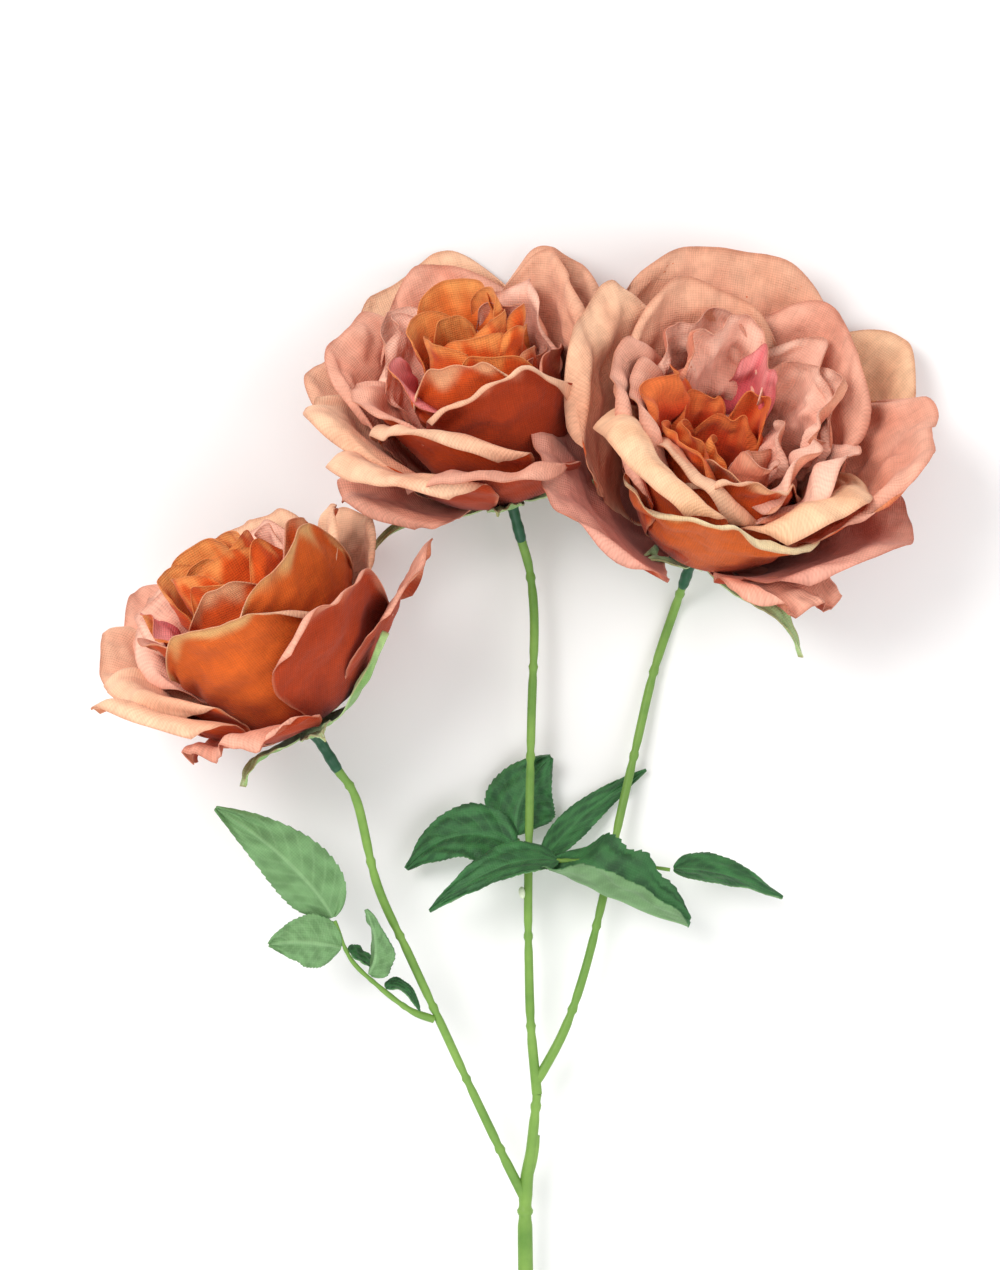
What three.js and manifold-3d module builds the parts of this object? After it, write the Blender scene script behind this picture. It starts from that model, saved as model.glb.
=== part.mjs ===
// A spray of three open roses with fabric petals on one forked, moulded stem, lying on a table.
// Millimetres. +Y runs from the cut end towards the blooms, +X to their right, +Z up from the table.
// The origin is on the table, under the middle of the whole spray.

import * as THREE from "three";
import { mergeVertices } from "three/addons/utils/BufferGeometryUtils.js";
import Module from "manifold-3d";

const wasm = await Module();
wasm.setup();

// ---------- driving sizes ----------

const GAP = 0.3; // clearance between pieces that touch
const STEM_RADIUS = 2.2; // main stem below the lower fork
const STEM_TOP_RADIUS = 1.5; // main stem between the forks
const BRANCH_RADIUS = 1.3;
const TAIL_LENGTH = 145; // cut end to the lower fork
const FORK_SPACING = 31; // lower fork to the upper fork
const STEM_RISE = 0.06; // how much the main stem climbs for each millimetre of its length
const STUB_LENGTH = 16;
const BLOOM_WIDTH = 112; // across the open petals of the right bloom
const SIDE_BLOOM_SIZE = 0.9; // the two other blooms, as a share of the right one
const NECK_LENGTH = 14;
const NECK_RADIUS = 2.1;
const PEG_RADIUS = 2;
const PEG_LENGTH = 22;
const LAYER_STEP = 1.4; // from one petal layer's hub to the next
const PETAL_THICKNESS = 0.7;
const LEAF_THICKNESS = 0.6;
const RACHIS_RADIUS = 0.8; // the stalk of a compound leaf
const RACHIS_ROOT = 1.2; // its thickness at its root, as a share of that

// ---------- materials ----------

const finish = (color, roughness) => new THREE.MeshStandardMaterial({ color, roughness, metalness: 0 });
const OUTER_PETAL = finish(0xe3a384, 0.85);
const MIDDLE_PETAL = finish(0xd97a45, 0.85);
const HEART_PETAL = finish(0xd9682a, 0.85);
const SEPAL_GREEN = finish(0x5f8a4c, 0.8);
const LEAF_GREEN = finish(0x2f6238, 0.6);
const PALE_LEAF = finish(0x7fae70, 0.7);
const STEM_GREEN = finish(0x7fa54a, 0.5);
const NECK_GREEN = finish(0x1f5236, 0.45);
const PEG_WHITE = finish(0xd9dccb, 0.5);

// ---------- shaping helpers ----------

const degrees = THREE.MathUtils.degToRad;
const mix = THREE.MathUtils.lerp;
const ease = (low, high, x) => THREE.MathUtils.smoothstep(x, low, high);

// A three.js geometry with every vertex moved by place(vertex), and its shared vertices merged.
function reshape(geometry, place) {
  geometry.deleteAttribute("normal");
  geometry.deleteAttribute("uv");
  const merged = mergeVertices(geometry);
  const position = merged.getAttribute("position");
  const vertex = new THREE.Vector3();
  for (let i = 0; i < position.count; i++) {
    const moved = place(vertex.fromBufferAttribute(position, i));
    position.setXYZ(i, moved.x, moved.y, moved.z);
  }
  return merged;
}

// A thin sheet on surface(u, v), with u from -1 to 1 across it and v from 0 to 1 along it.
function sheet(surface, across, along, thickness) {
  const STEP = 0.01;
  return reshape(new THREE.BoxGeometry(2, 1, 1, across, along, 1), (corner) => {
    const u = corner.x;
    const v = corner.y + 0.5;
    const uStep = u > 0 ? -STEP : STEP;
    const vStep = v > 0.5 ? -STEP : STEP;
    const here = surface(u, v);
    const sideways = surface(u + uStep, v).sub(here).multiplyScalar(Math.sign(uStep));
    const forwards = surface(u, v + vStep).sub(here).multiplyScalar(Math.sign(vStep));
    const normal = sideways.cross(forwards).normalize();
    return here.addScaledVector(normal, corner.z * thickness);
  });
}

// A closed round rod along a curve, with a radius that may change from its start (0) to its end (1).
function rod(curve, radiusAt, steps, sides = 8) {
  const frames = curve.computeFrenetFrames(steps, false);
  return reshape(new THREE.CylinderGeometry(1, 1, 1, sides, steps), (corner) => {
    const t = corner.y + 0.5;
    const i = Math.round(t * steps);
    const radius = radiusAt(t);
    return curve
      .getPointAt(t)
      .addScaledVector(frames.normals[i], corner.x * radius)
      .addScaledVector(frames.binormals[i], -corner.z * radius);
  });
}

function solidOf(geometry) {
  const bare = new THREE.BufferGeometry();
  bare.setAttribute("position", geometry.getAttribute("position"));
  bare.setIndex(geometry.index);
  const merged = mergeVertices(bare);
  const vertProperties = merged.getAttribute("position").array;
  const triVerts = new Uint32Array(merged.index.array);
  return new wasm.Manifold(new wasm.Mesh({ numProp: 3, vertProperties, triVerts }));
}

function geometryOf(solid) {
  const { vertProperties, triVerts } = solid.getMesh();
  const geometry = new THREE.BufferGeometry();
  geometry.setAttribute("position", new THREE.BufferAttribute(vertProperties, 3));
  geometry.setIndex(new THREE.BufferAttribute(triVerts, 1));
  return geometry;
}

function piece(name, geometry, material) {
  const mesh = new THREE.Mesh(geometry, material);
  mesh.name = name;
  return mesh;
}

const bareCylinder = (radius, height, middle, sides) => {
  const geometry = new THREE.CylinderGeometry(radius, radius, height, sides);
  geometry.deleteAttribute("normal");
  geometry.deleteAttribute("uv");
  return geometry.rotateX(Math.PI / 2).translate(0, 0, middle);
};

// ---------- petals ----------

// Each layer of petals, from the outermost in, is one die-cut sheet with a lobe for each petal.
// hub: radius of the disc in its middle, before the petals part
// start: slope of a petal where it leaves the hub, in degrees above flat
// rolls: where its rim starts to roll, as a share of its length
// notch: how far the sheet is cut in between two petals, as a share of their length
// bulge: how far the middle of a petal stands out from its sides
// columns, rows: how finely a petal is meshed
const LAYERS = {
  guard: {
    hub: 9, start: 4, rolls: 0.72, notch: 0.22, bulge: 0.8,
    columns: 4, rows: 4, material: OUTER_PETAL,
  },
  second: {
    hub: 7.8, start: 12, rolls: 0.74, notch: 0.22, bulge: 0.8,
    columns: 4, rows: 4, material: OUTER_PETAL,
  },
  third: {
    hub: 6.6, start: 22, rolls: 0.76, notch: 0.24, bulge: 0.7,
    columns: 4, rows: 4, material: MIDDLE_PETAL,
  },
  inner: {
    hub: 5.4, start: 34, rolls: 0.8, notch: 0.24, bulge: 0.7,
    columns: 4, rows: 3, material: MIDDLE_PETAL,
  },
  heart: {
    hub: 4.2, start: 50, rolls: 0.85, notch: 0.24, bulge: 0.4,
    columns: 4, rows: 3, material: HEART_PETAL,
  },
};
const CALYX = { hub: 9, start: -3, rolls: 0.55, notch: 0.86, bulge: 0, columns: 2, rows: 4, narrow: true };

const PROFILE_STEPS = 24;

// One petal of a layer: the way it points round the bloom, its length from the hub, the slopes of
// its wall and of its rim in degrees above flat, and the share of its length over which it turns up.
const petal = (azimuth, length, wall, rim, turned = 0.3) => ({ azimuth, length, wall, rim, turned });

// The middle line of a petal, in the plane through the bloom's axis, a share s of its length from
// the hub: it turns up from the layer's start slope to its wall slope, then to its rim slope.
function petalProfile({ length, wall, rim, turned }, { hub, start, rolls }, s) {
  const slopeAt = (share) => {
    const rising = mix(start, wall, ease(0, turned, share));
    return degrees(mix(rising, rim, ease(rolls, 1.08, share)));
  };
  let r = hub;
  let z = 0;
  const steps = Math.ceil(PROFILE_STEPS * s);
  for (let i = 0; i < steps; i++) {
    const slope = slopeAt(((i + 0.5) / steps) * s);
    r += (Math.cos(slope) * length * s) / steps;
    z += (Math.sin(slope) * length * s) / steps;
  }
  return { r, z, slope: slopeAt(s) };
}

// What the sheet is like at a column: at a petal's middle (t = 0) it has that petal's own shape,
// and at the cut between two petals (t = -1 or 1) a shape halfway between theirs.
function petalAt(petals, { notch }, i, t) {
  const own = petals[i];
  const other = petals[(i + (t < 0 ? petals.length - 1 : 1)) % petals.length];
  const share = 0.5 * t * t;
  const turn = ((other.azimuth - own.azimuth) * Math.sign(t) + 720) % 360;
  return {
    azimuth: own.azimuth + (turn * t) / 2,
    length: mix(own.length, other.length, share) * (1 - notch * Math.abs(t) ** 2.5),
    wall: mix(own.wall, other.wall, share),
    rim: mix(own.rim, other.rim, share),
    turned: mix(own.turned, other.turned, share),
  };
}

// One layer as a closed sheet round a hole for the peg. The lathe's rings count the rows out from
// the hole, and its two levels are the two faces of the sheet.
function petalLayer(petals, layer, hubHeight) {
  const sorted = [...petals].sort((a, b) => a.azimuth - b.azimuth);
  const rings = layer.rows + 2;
  const face = (level) => Array.from({ length: rings }, (_, k) => new THREE.Vector2(k + 1, level));
  const outline = [...face(0.5), ...face(-0.5).reverse(), new THREE.Vector2(1, 0.5)];
  const segments = sorted.length * layer.columns;
  return reshape(new THREE.LatheGeometry(outline, segments), (corner) => {
    const turn = Math.atan2(corner.x, corner.z) / (2 * Math.PI) + 1;
    const column = Math.round(turn * segments) % segments;
    const t = (2 * (column % layer.columns)) / layer.columns - 1;
    const shape = petalAt(sorted, layer, Math.floor(column / layer.columns), t);
    const ring = Math.round(Math.hypot(corner.x, corner.z)) - 1;
    const s = Math.max(ring - 1, 0) / layer.rows;
    const holeEdge = { r: PEG_RADIUS + GAP, z: 0, slope: 0 };
    const { r, z, slope } = ring ? petalProfile(shape, layer, s) : holeEdge;
    const out = corner.y * PETAL_THICKNESS + layer.bulge * Math.cos(Math.PI * t) * ease(0.2, 1, s);
    const spread = layer.narrow ? layer.hub / Math.max(r, layer.hub) : 1;
    const middle = sorted[Math.floor(column / layer.columns)].azimuth;
    const angle = degrees(mix(middle, shape.azimuth, spread));
    const radius = r + Math.sin(slope) * out;
    const height = hubHeight + z - Math.cos(slope) * out;
    return new THREE.Vector3(radius * Math.cos(angle), radius * Math.sin(angle), height);
  });
}

// ---------- blooms ----------

// Petal lengths below are those of a bloom 112 mm wide.
const WIDTH_RATIO = BLOOM_WIDTH / 112;

// A bloom stands on its own +Z axis with its hubs at the origin. Azimuth 0 is the side turned
// up from the table, 90 the side to the right of a viewer above, 180 the side on the table.
function bloom(name, { heading, tilt, size, layers, sepals }) {
  const group = new THREE.Group();
  const scaled = (p) => ({ ...p, length: p.length * size * WIDTH_RATIO });
  let hubHeight = 0;
  for (const [layerName, layer] of Object.entries(LAYERS)) {
    const geometry = petalLayer(layers[layerName].map(scaled), layer, hubHeight);
    group.add(piece(`${name}_${layerName}_petals`, geometry, layer.material));
    hubHeight += LAYER_STEP;
  }
  const calyxHeight = -LAYER_STEP * 1.5;
  group.add(piece(`${name}_calyx`, petalLayer(sepals.map(scaled), CALYX, calyxHeight), SEPAL_GREEN));
  const pegBottom = calyxHeight - PETAL_THICKNESS / 2;
  const pegMiddle = pegBottom + PEG_LENGTH / 2;
  group.add(piece(`${name}_peg`, bareCylinder(PEG_RADIUS, PEG_LENGTH, pegMiddle, 10), PEG_WHITE));
  const neckTop = pegBottom - GAP;
  const neck = new THREE.CylinderGeometry(NECK_RADIUS * 1.3, NECK_RADIUS * 0.85, NECK_LENGTH, 12);
  neck.rotateX(Math.PI / 2).translate(0, 0, neckTop - NECK_LENGTH / 2);
  group.add(piece(`${name}_neck`, neck, NECK_GREEN));

  const axis = new THREE.Vector3(Math.cos(degrees(heading)), Math.sin(degrees(heading)), 0);
  axis.multiplyScalar(Math.cos(degrees(tilt))).setZ(Math.sin(degrees(tilt)));
  const upSide = new THREE.Vector3(0, 0, 1).projectOnPlane(axis).normalize();
  const rightSide = new THREE.Vector3().crossVectors(axis, upSide);
  group.quaternion.setFromRotationMatrix(new THREE.Matrix4().makeBasis(upSide, rightSide, axis));
  group.userData.neckEnd = axis.clone().multiplyScalar(neckTop - NECK_LENGTH - GAP);
  group.userData.axis = axis;
  return group;
}

// Lays a bloom on the table, its lowest petal just touching. Its place in plan is counted from the
// middle of the three blooms, and wider blooms lie further apart.
const HEAD_MIDDLE = new THREE.Vector3(-8, 196, 0);
function layDown(group, x, y) {
  const lowest = new THREE.Box3().setFromObject(group, true).min.z;
  group.position.set(x, y, 0).multiplyScalar(WIDTH_RATIO).add(HEAD_MIDDLE);
  group.position.z = -lowest;
  group.userData.neckEnd.add(group.position);
  return group;
}

const rightBloom = layDown(
  bloom("right", {
    heading: 72,
    tilt: 41,
    size: 1,
    layers: {
      guard: [
        petal(194, 82, 61, 44),
        petal(134, 80, 49, 18),
        petal(80, 60, 44, 8),
        petal(42, 50, 26, -10),
        petal(298, 57, 54, 12),
        petal(246, 76, 64, 16),
      ],
      second: [
        petal(2, 46, 62, 0),
        petal(52, 56, 67, -6),
        petal(100, 68, 61, 22),
        petal(160, 73, 69, 50),
        petal(212, 73, 71, 54),
        petal(308, 60, 69, -40),
      ],
      third: [
        petal(24, 52, 68, 10),
        petal(92, 58, 68, 40),
        petal(156, 62, 73, 60),
        petal(222, 62, 74, 60),
        petal(292, 58, 73, 30),
      ],
      inner: [
        petal(5, 42, 74, 60),
        petal(78, 48, 74, 64),
        petal(150, 54, 77, 70),
        petal(222, 54, 78, 70),
        petal(295, 48, 77, 64),
      ],
      heart: [
        petal(40, 36, 82, 78),
        petal(130, 40, 82, 78),
        petal(220, 42, 83, 78),
        petal(310, 38, 83, 78),
      ],
    },
    sepals: [
      petal(30, 38, 8, -70),
      petal(100, 24, 12, -10),
      petal(170, 24, 24, 20),
      petal(245, 24, 24, 10),
      petal(320, 24, 16, -20),
    ],
  }),
  57,
  12,
);

const centreBloom = layDown(
  bloom("centre", {
    heading: 105,
    tilt: 25,
    size: SIDE_BLOOM_SIZE,
    layers: {
      guard: [
        petal(186, 79, 63, 40),
        petal(136, 75, 59, 40, 0.2),
        petal(75, 46, 76, 70, 0.16),
        petal(16, 46, 47, -6),
        petal(328, 56, 49, -30),
        petal(286, 56, 32, -24),
        petal(240, 74, 54, 6),
      ],
      second: [
        petal(16, 60, 68, -20, 0.24),
        petal(75, 45, 79, 73, 0.16),
        petal(130, 72, 68, 50, 0.2),
        petal(190, 74, 67, 48),
        petal(245, 72, 65, 20),
        petal(316, 62, 63, -36),
      ],
      third: [
        petal(356, 58, 75, 10),
        petal(72, 46, 81, 77, 0.18),
        petal(142, 62, 75, 60),
        petal(214, 62, 72, 56),
        petal(286, 58, 70, 4),
      ],
      inner: [
        petal(30, 48, 82, 70, 0.2),
        petal(102, 48, 88, 82, 0.12),
        petal(174, 58, 79, 72),
        petal(246, 56, 76, 68),
        petal(318, 52, 77, 62),
      ],
      heart: [
        petal(0, 50, 85, 80),
        petal(90, 48, 89, 86, 0.16),
        petal(180, 58, 85, 80),
        petal(270, 54, 83, 78),
      ],
    },
    sepals: [
      petal(350, 22, 20, 10),
      petal(60, 22, 10, 0),
      petal(130, 24, 24, 20),
      petal(200, 24, 24, 20),
      petal(278, 37, 6, -40),
    ],
  }),
  1.5,
  28,
);

const leftBloom = layDown(
  bloom("left", {
    heading: 121,
    tilt: 12,
    size: SIDE_BLOOM_SIZE,
    layers: {
      guard: [
        petal(175, 72, 60, 30),
        petal(122, 66, 54, 20),
        petal(80, 62, 38, 4),
        petal(38, 60, 50, 4),
        petal(338, 42, 30, -24),
        petal(286, 62, 42, -10),
        petal(238, 72, 57, 6),
      ],
      second: [
        petal(336, 64, 66, 10),
        petal(38, 68, 67, 28),
        petal(100, 66, 68, 30),
        petal(160, 70, 69, 40),
        petal(215, 70, 66, 30),
        petal(275, 65, 58, -40),
      ],
      third: [
        petal(6, 66, 72, 44),
        petal(80, 61, 73, 44),
        petal(154, 60, 74, 50),
        petal(226, 60, 72, 40),
        petal(298, 60, 66, 0),
      ],
      inner: [
        petal(20, 54, 76, 66),
        petal(92, 52, 78, 66),
        petal(164, 52, 79, 68),
        petal(236, 50, 77, 66),
        petal(308, 50, 75, 60),
      ],
      heart: [
        petal(10, 48, 83, 78),
        petal(100, 48, 84, 78),
        petal(190, 48, 84, 78),
        petal(280, 46, 83, 78),
      ],
    },
    sepals: [
      petal(290, 38, 6, -110),
      petal(5, 26, 6, -20),
      petal(55, 38, 20, 20),
      petal(140, 24, 20, 10),
      petal(215, 24, 16, 0),
    ],
  }),
  -56,
  -39,
);

// ---------- stems ----------

const LOWER_FORK_Y = 16;
const CUT_END = new THREE.Vector3(-1, LOWER_FORK_Y - TAIL_LENGTH, STEM_RADIUS + 0.01);
const along = (x, distance) =>
  new THREE.Vector3(x, CUT_END.y + distance, CUT_END.z + distance * STEM_RISE);
const LOWER_FORK = along(-1.2, TAIL_LENGTH);
const UPPER_FORK = along(2.2, TAIL_LENGTH + FORK_SPACING);

const mainPath = new THREE.CatmullRomCurve3([
  CUT_END,
  along(-1.4, TAIL_LENGTH * 0.4),
  along(-1, TAIL_LENGTH * 0.75),
  LOWER_FORK,
  along(0.6, TAIL_LENGTH + FORK_SPACING * 0.5),
  UPPER_FORK,
]);
const FORK_SHARE = TAIL_LENGTH / (TAIL_LENGTH + FORK_SPACING);
const mainRadius = (t) => mix(STEM_RADIUS, STEM_TOP_RADIUS, ease(FORK_SHARE - 0.03, FORK_SHARE + 0.05, t));
const mainStem = solidOf(rod(mainPath, mainRadius, 16, 10));
const mainClear = solidOf(rod(mainPath, (t) => mainRadius(t) + GAP, 16, 10));

// A short pruned stub on the right of the main stem, between the forks.
const stubRoot = mainPath.getPointAt(0.84);
const stubTop = stubRoot.clone().add(new THREE.Vector3(2.9, STUB_LENGTH, 0.5));
const stub = solidOf(rod(new THREE.LineCurve3(stubRoot, stubTop), (t) => mix(1, 1.3, t), 2, 8));

// A branch from a fork to a bloom's neck, through points in plan. Its height follows its length.
function branch(name, fork, plan, target) {
  const { neckEnd, axis } = target.userData;
  const approach = neckEnd.clone().addScaledVector(axis, -NECK_LENGTH * 0.8);
  approach.z = Math.max(approach.z, BRANCH_RADIUS + GAP);
  const run = approach.y - fork.y;
  const heightAt = (y) => mix(fork.z, approach.z, (y - fork.y) / run);
  const middle = plan.map(([x, y]) => new THREE.Vector3(x, y, heightAt(y)));
  const path = new THREE.CatmullRomCurve3([fork, ...middle, approach, neckEnd]);
  const solid = solidOf(rod(path, () => BRANCH_RADIUS, 16, 8)).subtract(mainClear);
  return { path, solid, mesh: piece(name, geometryOf(solid), STEM_GREEN) };
}

const centrePlan = [[0.4, 67], [-0.2, 86], [-0.4, 104], [0, 130], [0.6, 158], [1.4, 184]];
const rightPlan = [[9.9, 65], [15.8, 81.5], [21.3, 103], [26.4, 127], [31.5, 149], [36.5, 170]];
const leftPlan = [[-8.1, 30], [-17.9, 51], [-25.6, 68], [-34.9, 88.5], [-44, 109]];
const centreBranch = branch("centre_branch", UPPER_FORK, centrePlan, centreBloom);
const centreClear = solidOf(rod(centreBranch.path, () => BRANCH_RADIUS + GAP, 16, 8));
const rightRootOnCentre = centreBranch.path.getPointAt(0.02);
const rightBranch = branch("right_branch", rightRootOnCentre, rightPlan, rightBloom);
rightBranch.mesh.geometry = geometryOf(rightBranch.solid.subtract(centreClear));
const leftBranch = branch("left_branch", LOWER_FORK, leftPlan, leftBloom);

// ---------- leaves ----------

const point = (x, y, z) => new THREE.Vector3(x, y, z);

// A leaflet on a bent midrib, its halves folded up from it by an angle, its upper side towards face.
function leaflet(name, { base, bend, tip, face, width, fold = 12, material = LEAF_GREEN }) {
  const midrib = new THREE.QuadraticBezierCurve3(base, bend, tip);
  const lean = degrees(fold);
  const surface = (u, v) => {
    const forwards = midrib.getTangent(Math.min(Math.max(v, 0.001), 0.999));
    const sideways = new THREE.Vector3().crossVectors(forwards, face).normalize();
    const up = new THREE.Vector3().crossVectors(sideways, forwards);
    const halfWidth = width * Math.sin(Math.PI * mix(0.004, 0.985, v) ** 0.68) ** 0.85;
    return midrib
      .getPoint(v)
      .addScaledVector(sideways, u * halfWidth * Math.cos(lean))
      .addScaledVector(up, Math.abs(u) * halfWidth * Math.sin(lean));
  };
  return piece(name, sheet(surface, 2, 6, LEAF_THICKNESS), material);
}

// A rachis, the stalk of a compound leaf, from the side of a branch through further points.
function rachis(name, root, points) {
  const path = new THREE.CatmullRomCurve3([root, ...points]);
  const radiusAt = (t) => RACHIS_RADIUS * mix(RACHIS_ROOT, 0.6, t);
  return { path, mesh: piece(name, rod(path, radiusAt, 8, 6), STEM_GREEN) };
}

// The point just off the side of a branch, at a share of its length, in a direction.
function offBranch({ path }, share, direction) {
  const reach = BRANCH_RADIUS + RACHIS_RADIUS * RACHIS_ROOT + GAP;
  return path.getPointAt(share).addScaledVector(direction.clone().normalize(), reach);
}

// The point just off a rachis where a leaflet starts, at a share of its length, in a direction.
function offRachis({ path }, share, direction) {
  const reach = RACHIS_RADIUS * RACHIS_ROOT + LEAF_THICKNESS / 2 + GAP;
  return path.getPointAt(share).addScaledVector(direction.clone().normalize(), reach);
}

// A leaflet that starts off a rachis and runs to a tip given from that start.
function growLeaflet(name, stalk, share, { bend, tip, ...shape }) {
  const base = offRachis(stalk, share, bend);
  return leaflet(name, { base, bend: base.clone().add(bend), tip: base.clone().add(tip), ...shape });
}

const leftRoot = offBranch(leftBranch, 0.43, point(-1, -0.3, 0.4));
const leftRachis = rachis("left_leaf_stalk", leftRoot, [
  leftRoot.clone().add(point(-7, 3, 2)),
  leftRoot.clone().add(point(-16, 10, 4)),
  leftRoot.clone().add(point(-24, 18, 5)),
  leftRoot.clone().add(point(-28.5, 29, 6)),
]);
const underside = point(0.25, 0.2, -1);
const leftLeaflets = [
  growLeaflet("left_leaflet_end", leftRachis, 1, {
    bend: point(-9, 17, 3),
    tip: point(-34, 33, 4),
    face: underside,
    width: 9.5,
    material: PALE_LEAF,
  }),
  growLeaflet("left_leaflet_upper_outer", leftRachis, 0.8, {
    bend: point(-12, 3, 3),
    tip: point(-22, 1, -3),
    face: underside,
    width: 7.6,
    material: PALE_LEAF,
  }),
  growLeaflet("left_leaflet_upper_inner", leftRachis, 0.8, {
    bend: point(5, -3, -4),
    tip: point(11, -8, -7),
    face: point(0.6, 0.6, 0.3),
    width: 3.6,
  }),
  growLeaflet("left_leaflet_lower_outer", leftRachis, 0.55, {
    bend: point(5, 8, 5),
    tip: point(0, 20, 7),
    face: point(0.9, 0.1, -0.6),
    width: 6,
    fold: 20,
    material: PALE_LEAF,
  }),
  growLeaflet("left_leaflet_lower_inner", leftRachis, 0.42, {
    bend: point(6, 3, -1),
    tip: point(11, -6, 1),
    face: point(0.5, 0.8, 0.35),
    width: 3.4,
  }),
];

// Where the middle branch carries its leaves, as a share of its length.
const LEAF_SHARE = 0.41;
// How far the leaflet that passes under the right branch drops from the leaf stalk.
const UNDER_BRANCH = -8.4 - 2 * BRANCH_RADIUS;
const rightRoot = offBranch(centreBranch, LEAF_SHARE, point(1, 0, 0.6));
const rightRachis = rachis("right_leaf_stalk", rightRoot, [
  rightRoot.clone().add(point(8, 1.5, 1.6)),
  rightRoot.clone().add(point(26, 3, 8)),
  rightRoot.clone().add(point(40, -1.5, 7)),
]);
const rightLeaflets = [
  growLeaflet("right_leaflet_end", rightRachis, 1, {
    bend: point(14, 1.5, 2),
    tip: point(33, -8, -4),
    face: point(0.1, 0.75, 0.6),
    width: 6.5,
  }),
  growLeaflet("right_leaflet_front", rightRachis, 0.24, {
    bend: point(7, -15, 6),
    tip: point(36, -20, 4),
    face: point(0.1, 0.9, 0.42),
    width: 14,
    fold: 48,
  }),
  growLeaflet("right_leaflet_back", rightRachis, 0.06, {
    bend: point(10, 14, UNDER_BRANCH - 2),
    tip: point(31, 27, UNDER_BRANCH),
    face: point(-0.1, 0.1, 1),
    width: 4.4,
    fold: 2,
  }),
  growLeaflet("right_leaflet_crossing", rightRachis, 0.2, {
    bend: point(-16, 3, 8),
    tip: point(-38, -14, 2),
    face: point(-0.1, 0.72, 0.7),
    width: 7,
  }),
];

const backRoot = offBranch(centreBranch, LEAF_SHARE, point(-1, 0.2, -0.5));
const backRachis = rachis("back_leaf_stalk", backRoot, [
  backRoot.clone().add(point(-1.5, 3, -1.5)),
  backRoot.clone().add(point(-2, 7, -3)),
]);
const backLeaflets = [
  growLeaflet("back_leaflet_upper", backRachis, 1, {
    bend: point(-2, 13, -1),
    tip: point(10, 24, 0),
    face: point(-0.2, -0.2, 0.9),
    width: 11,
    fold: -20,
  }),
  growLeaflet("back_leaflet_outer", backRachis, 0.5, {
    bend: point(-17, 12, 2),
    tip: point(-33, -5, -3),
    face: point(-0.1, 0.5, 0.85),
    width: 9,
  }),
];

// ---------- the spray ----------

const lying = new THREE.Group();
lying.add(piece("main_stem", geometryOf(mainStem.add(stub)), STEM_GREEN));
lying.add(centreBranch.mesh, rightBranch.mesh, leftBranch.mesh);
lying.add(rightBloom, centreBloom, leftBloom);
lying.add(leftRachis.mesh, rightRachis.mesh, backRachis.mesh);
lying.add(...leftLeaflets, ...rightLeaflets, ...backLeaflets);

const extent = new THREE.Box3().setFromObject(lying, true);
const middle = extent.getCenter(new THREE.Vector3());
lying.position.set(-middle.x, -middle.y, -extent.min.z);

const spray = new THREE.Group();
spray.add(lying);
export default spray;
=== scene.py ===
import math

import bpy
import numpy as np
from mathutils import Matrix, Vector


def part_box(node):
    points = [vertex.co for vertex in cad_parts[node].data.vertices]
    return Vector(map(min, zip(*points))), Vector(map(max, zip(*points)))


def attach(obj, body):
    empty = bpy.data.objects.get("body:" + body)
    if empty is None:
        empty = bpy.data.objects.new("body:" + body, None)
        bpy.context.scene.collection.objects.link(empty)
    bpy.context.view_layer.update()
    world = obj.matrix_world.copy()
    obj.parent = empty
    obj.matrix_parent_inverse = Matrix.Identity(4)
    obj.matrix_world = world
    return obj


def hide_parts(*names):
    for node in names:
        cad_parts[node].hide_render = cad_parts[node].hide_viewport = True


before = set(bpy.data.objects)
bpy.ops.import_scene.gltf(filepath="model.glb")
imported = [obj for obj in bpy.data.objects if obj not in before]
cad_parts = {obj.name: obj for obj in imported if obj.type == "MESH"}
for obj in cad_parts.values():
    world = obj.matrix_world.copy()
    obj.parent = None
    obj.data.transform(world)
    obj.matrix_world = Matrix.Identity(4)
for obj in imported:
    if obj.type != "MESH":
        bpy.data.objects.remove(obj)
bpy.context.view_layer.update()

# ---------------------------------------------------------------------------
# Camera. The spray lies down, so the camera looks straight down on the blooms
# and the upper two thirds of the stem.
# ---------------------------------------------------------------------------
VIEW_TALL = 0.362
CAMERA_AWAY = 1.35
SENSOR_WIDE = 36.0
FROM_RIGHT_PEG = Vector((-0.0596, -0.0331, 0))
LOOKED_AT_HEIGHT = 0.045
peg_low, peg_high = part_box("right_peg")
looked_at = (peg_low + peg_high) / 2 + FROM_RIGHT_PEG
looked_at.z = LOOKED_AT_HEIGHT
camera_data = bpy.data.cameras.new("camera")
camera_data.sensor_width = SENSOR_WIDE
camera_data.lens = SENSOR_WIDE * CAMERA_AWAY / VIEW_TALL
camera_data.clip_start = 0.05
camera = bpy.data.objects.new("camera", camera_data)
camera.location = looked_at + Vector((0, 0, CAMERA_AWAY))
bpy.context.collection.objects.link(camera)
bpy.context.scene.camera = camera

# ---------------------------------------------------------------------------
# Studio. A white table, a soft lamp above and to the left, two weaker ones on
# the right and towards the cut end, and a pale surround.
# ---------------------------------------------------------------------------
TABLE_REACH = 3.0
SURROUND_LIGHT = 0.7


def new_material(name, **values):
    """A material, its node tree and its shader, with these values on the shader's own sockets."""
    material = bpy.data.materials.new(name)
    material.use_nodes = True
    shader = material.node_tree.nodes["Principled BSDF"]
    for key, value in values.items():
        shader.inputs[key.replace("_", " ")].default_value = value
    return material, material.node_tree, shader


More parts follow.
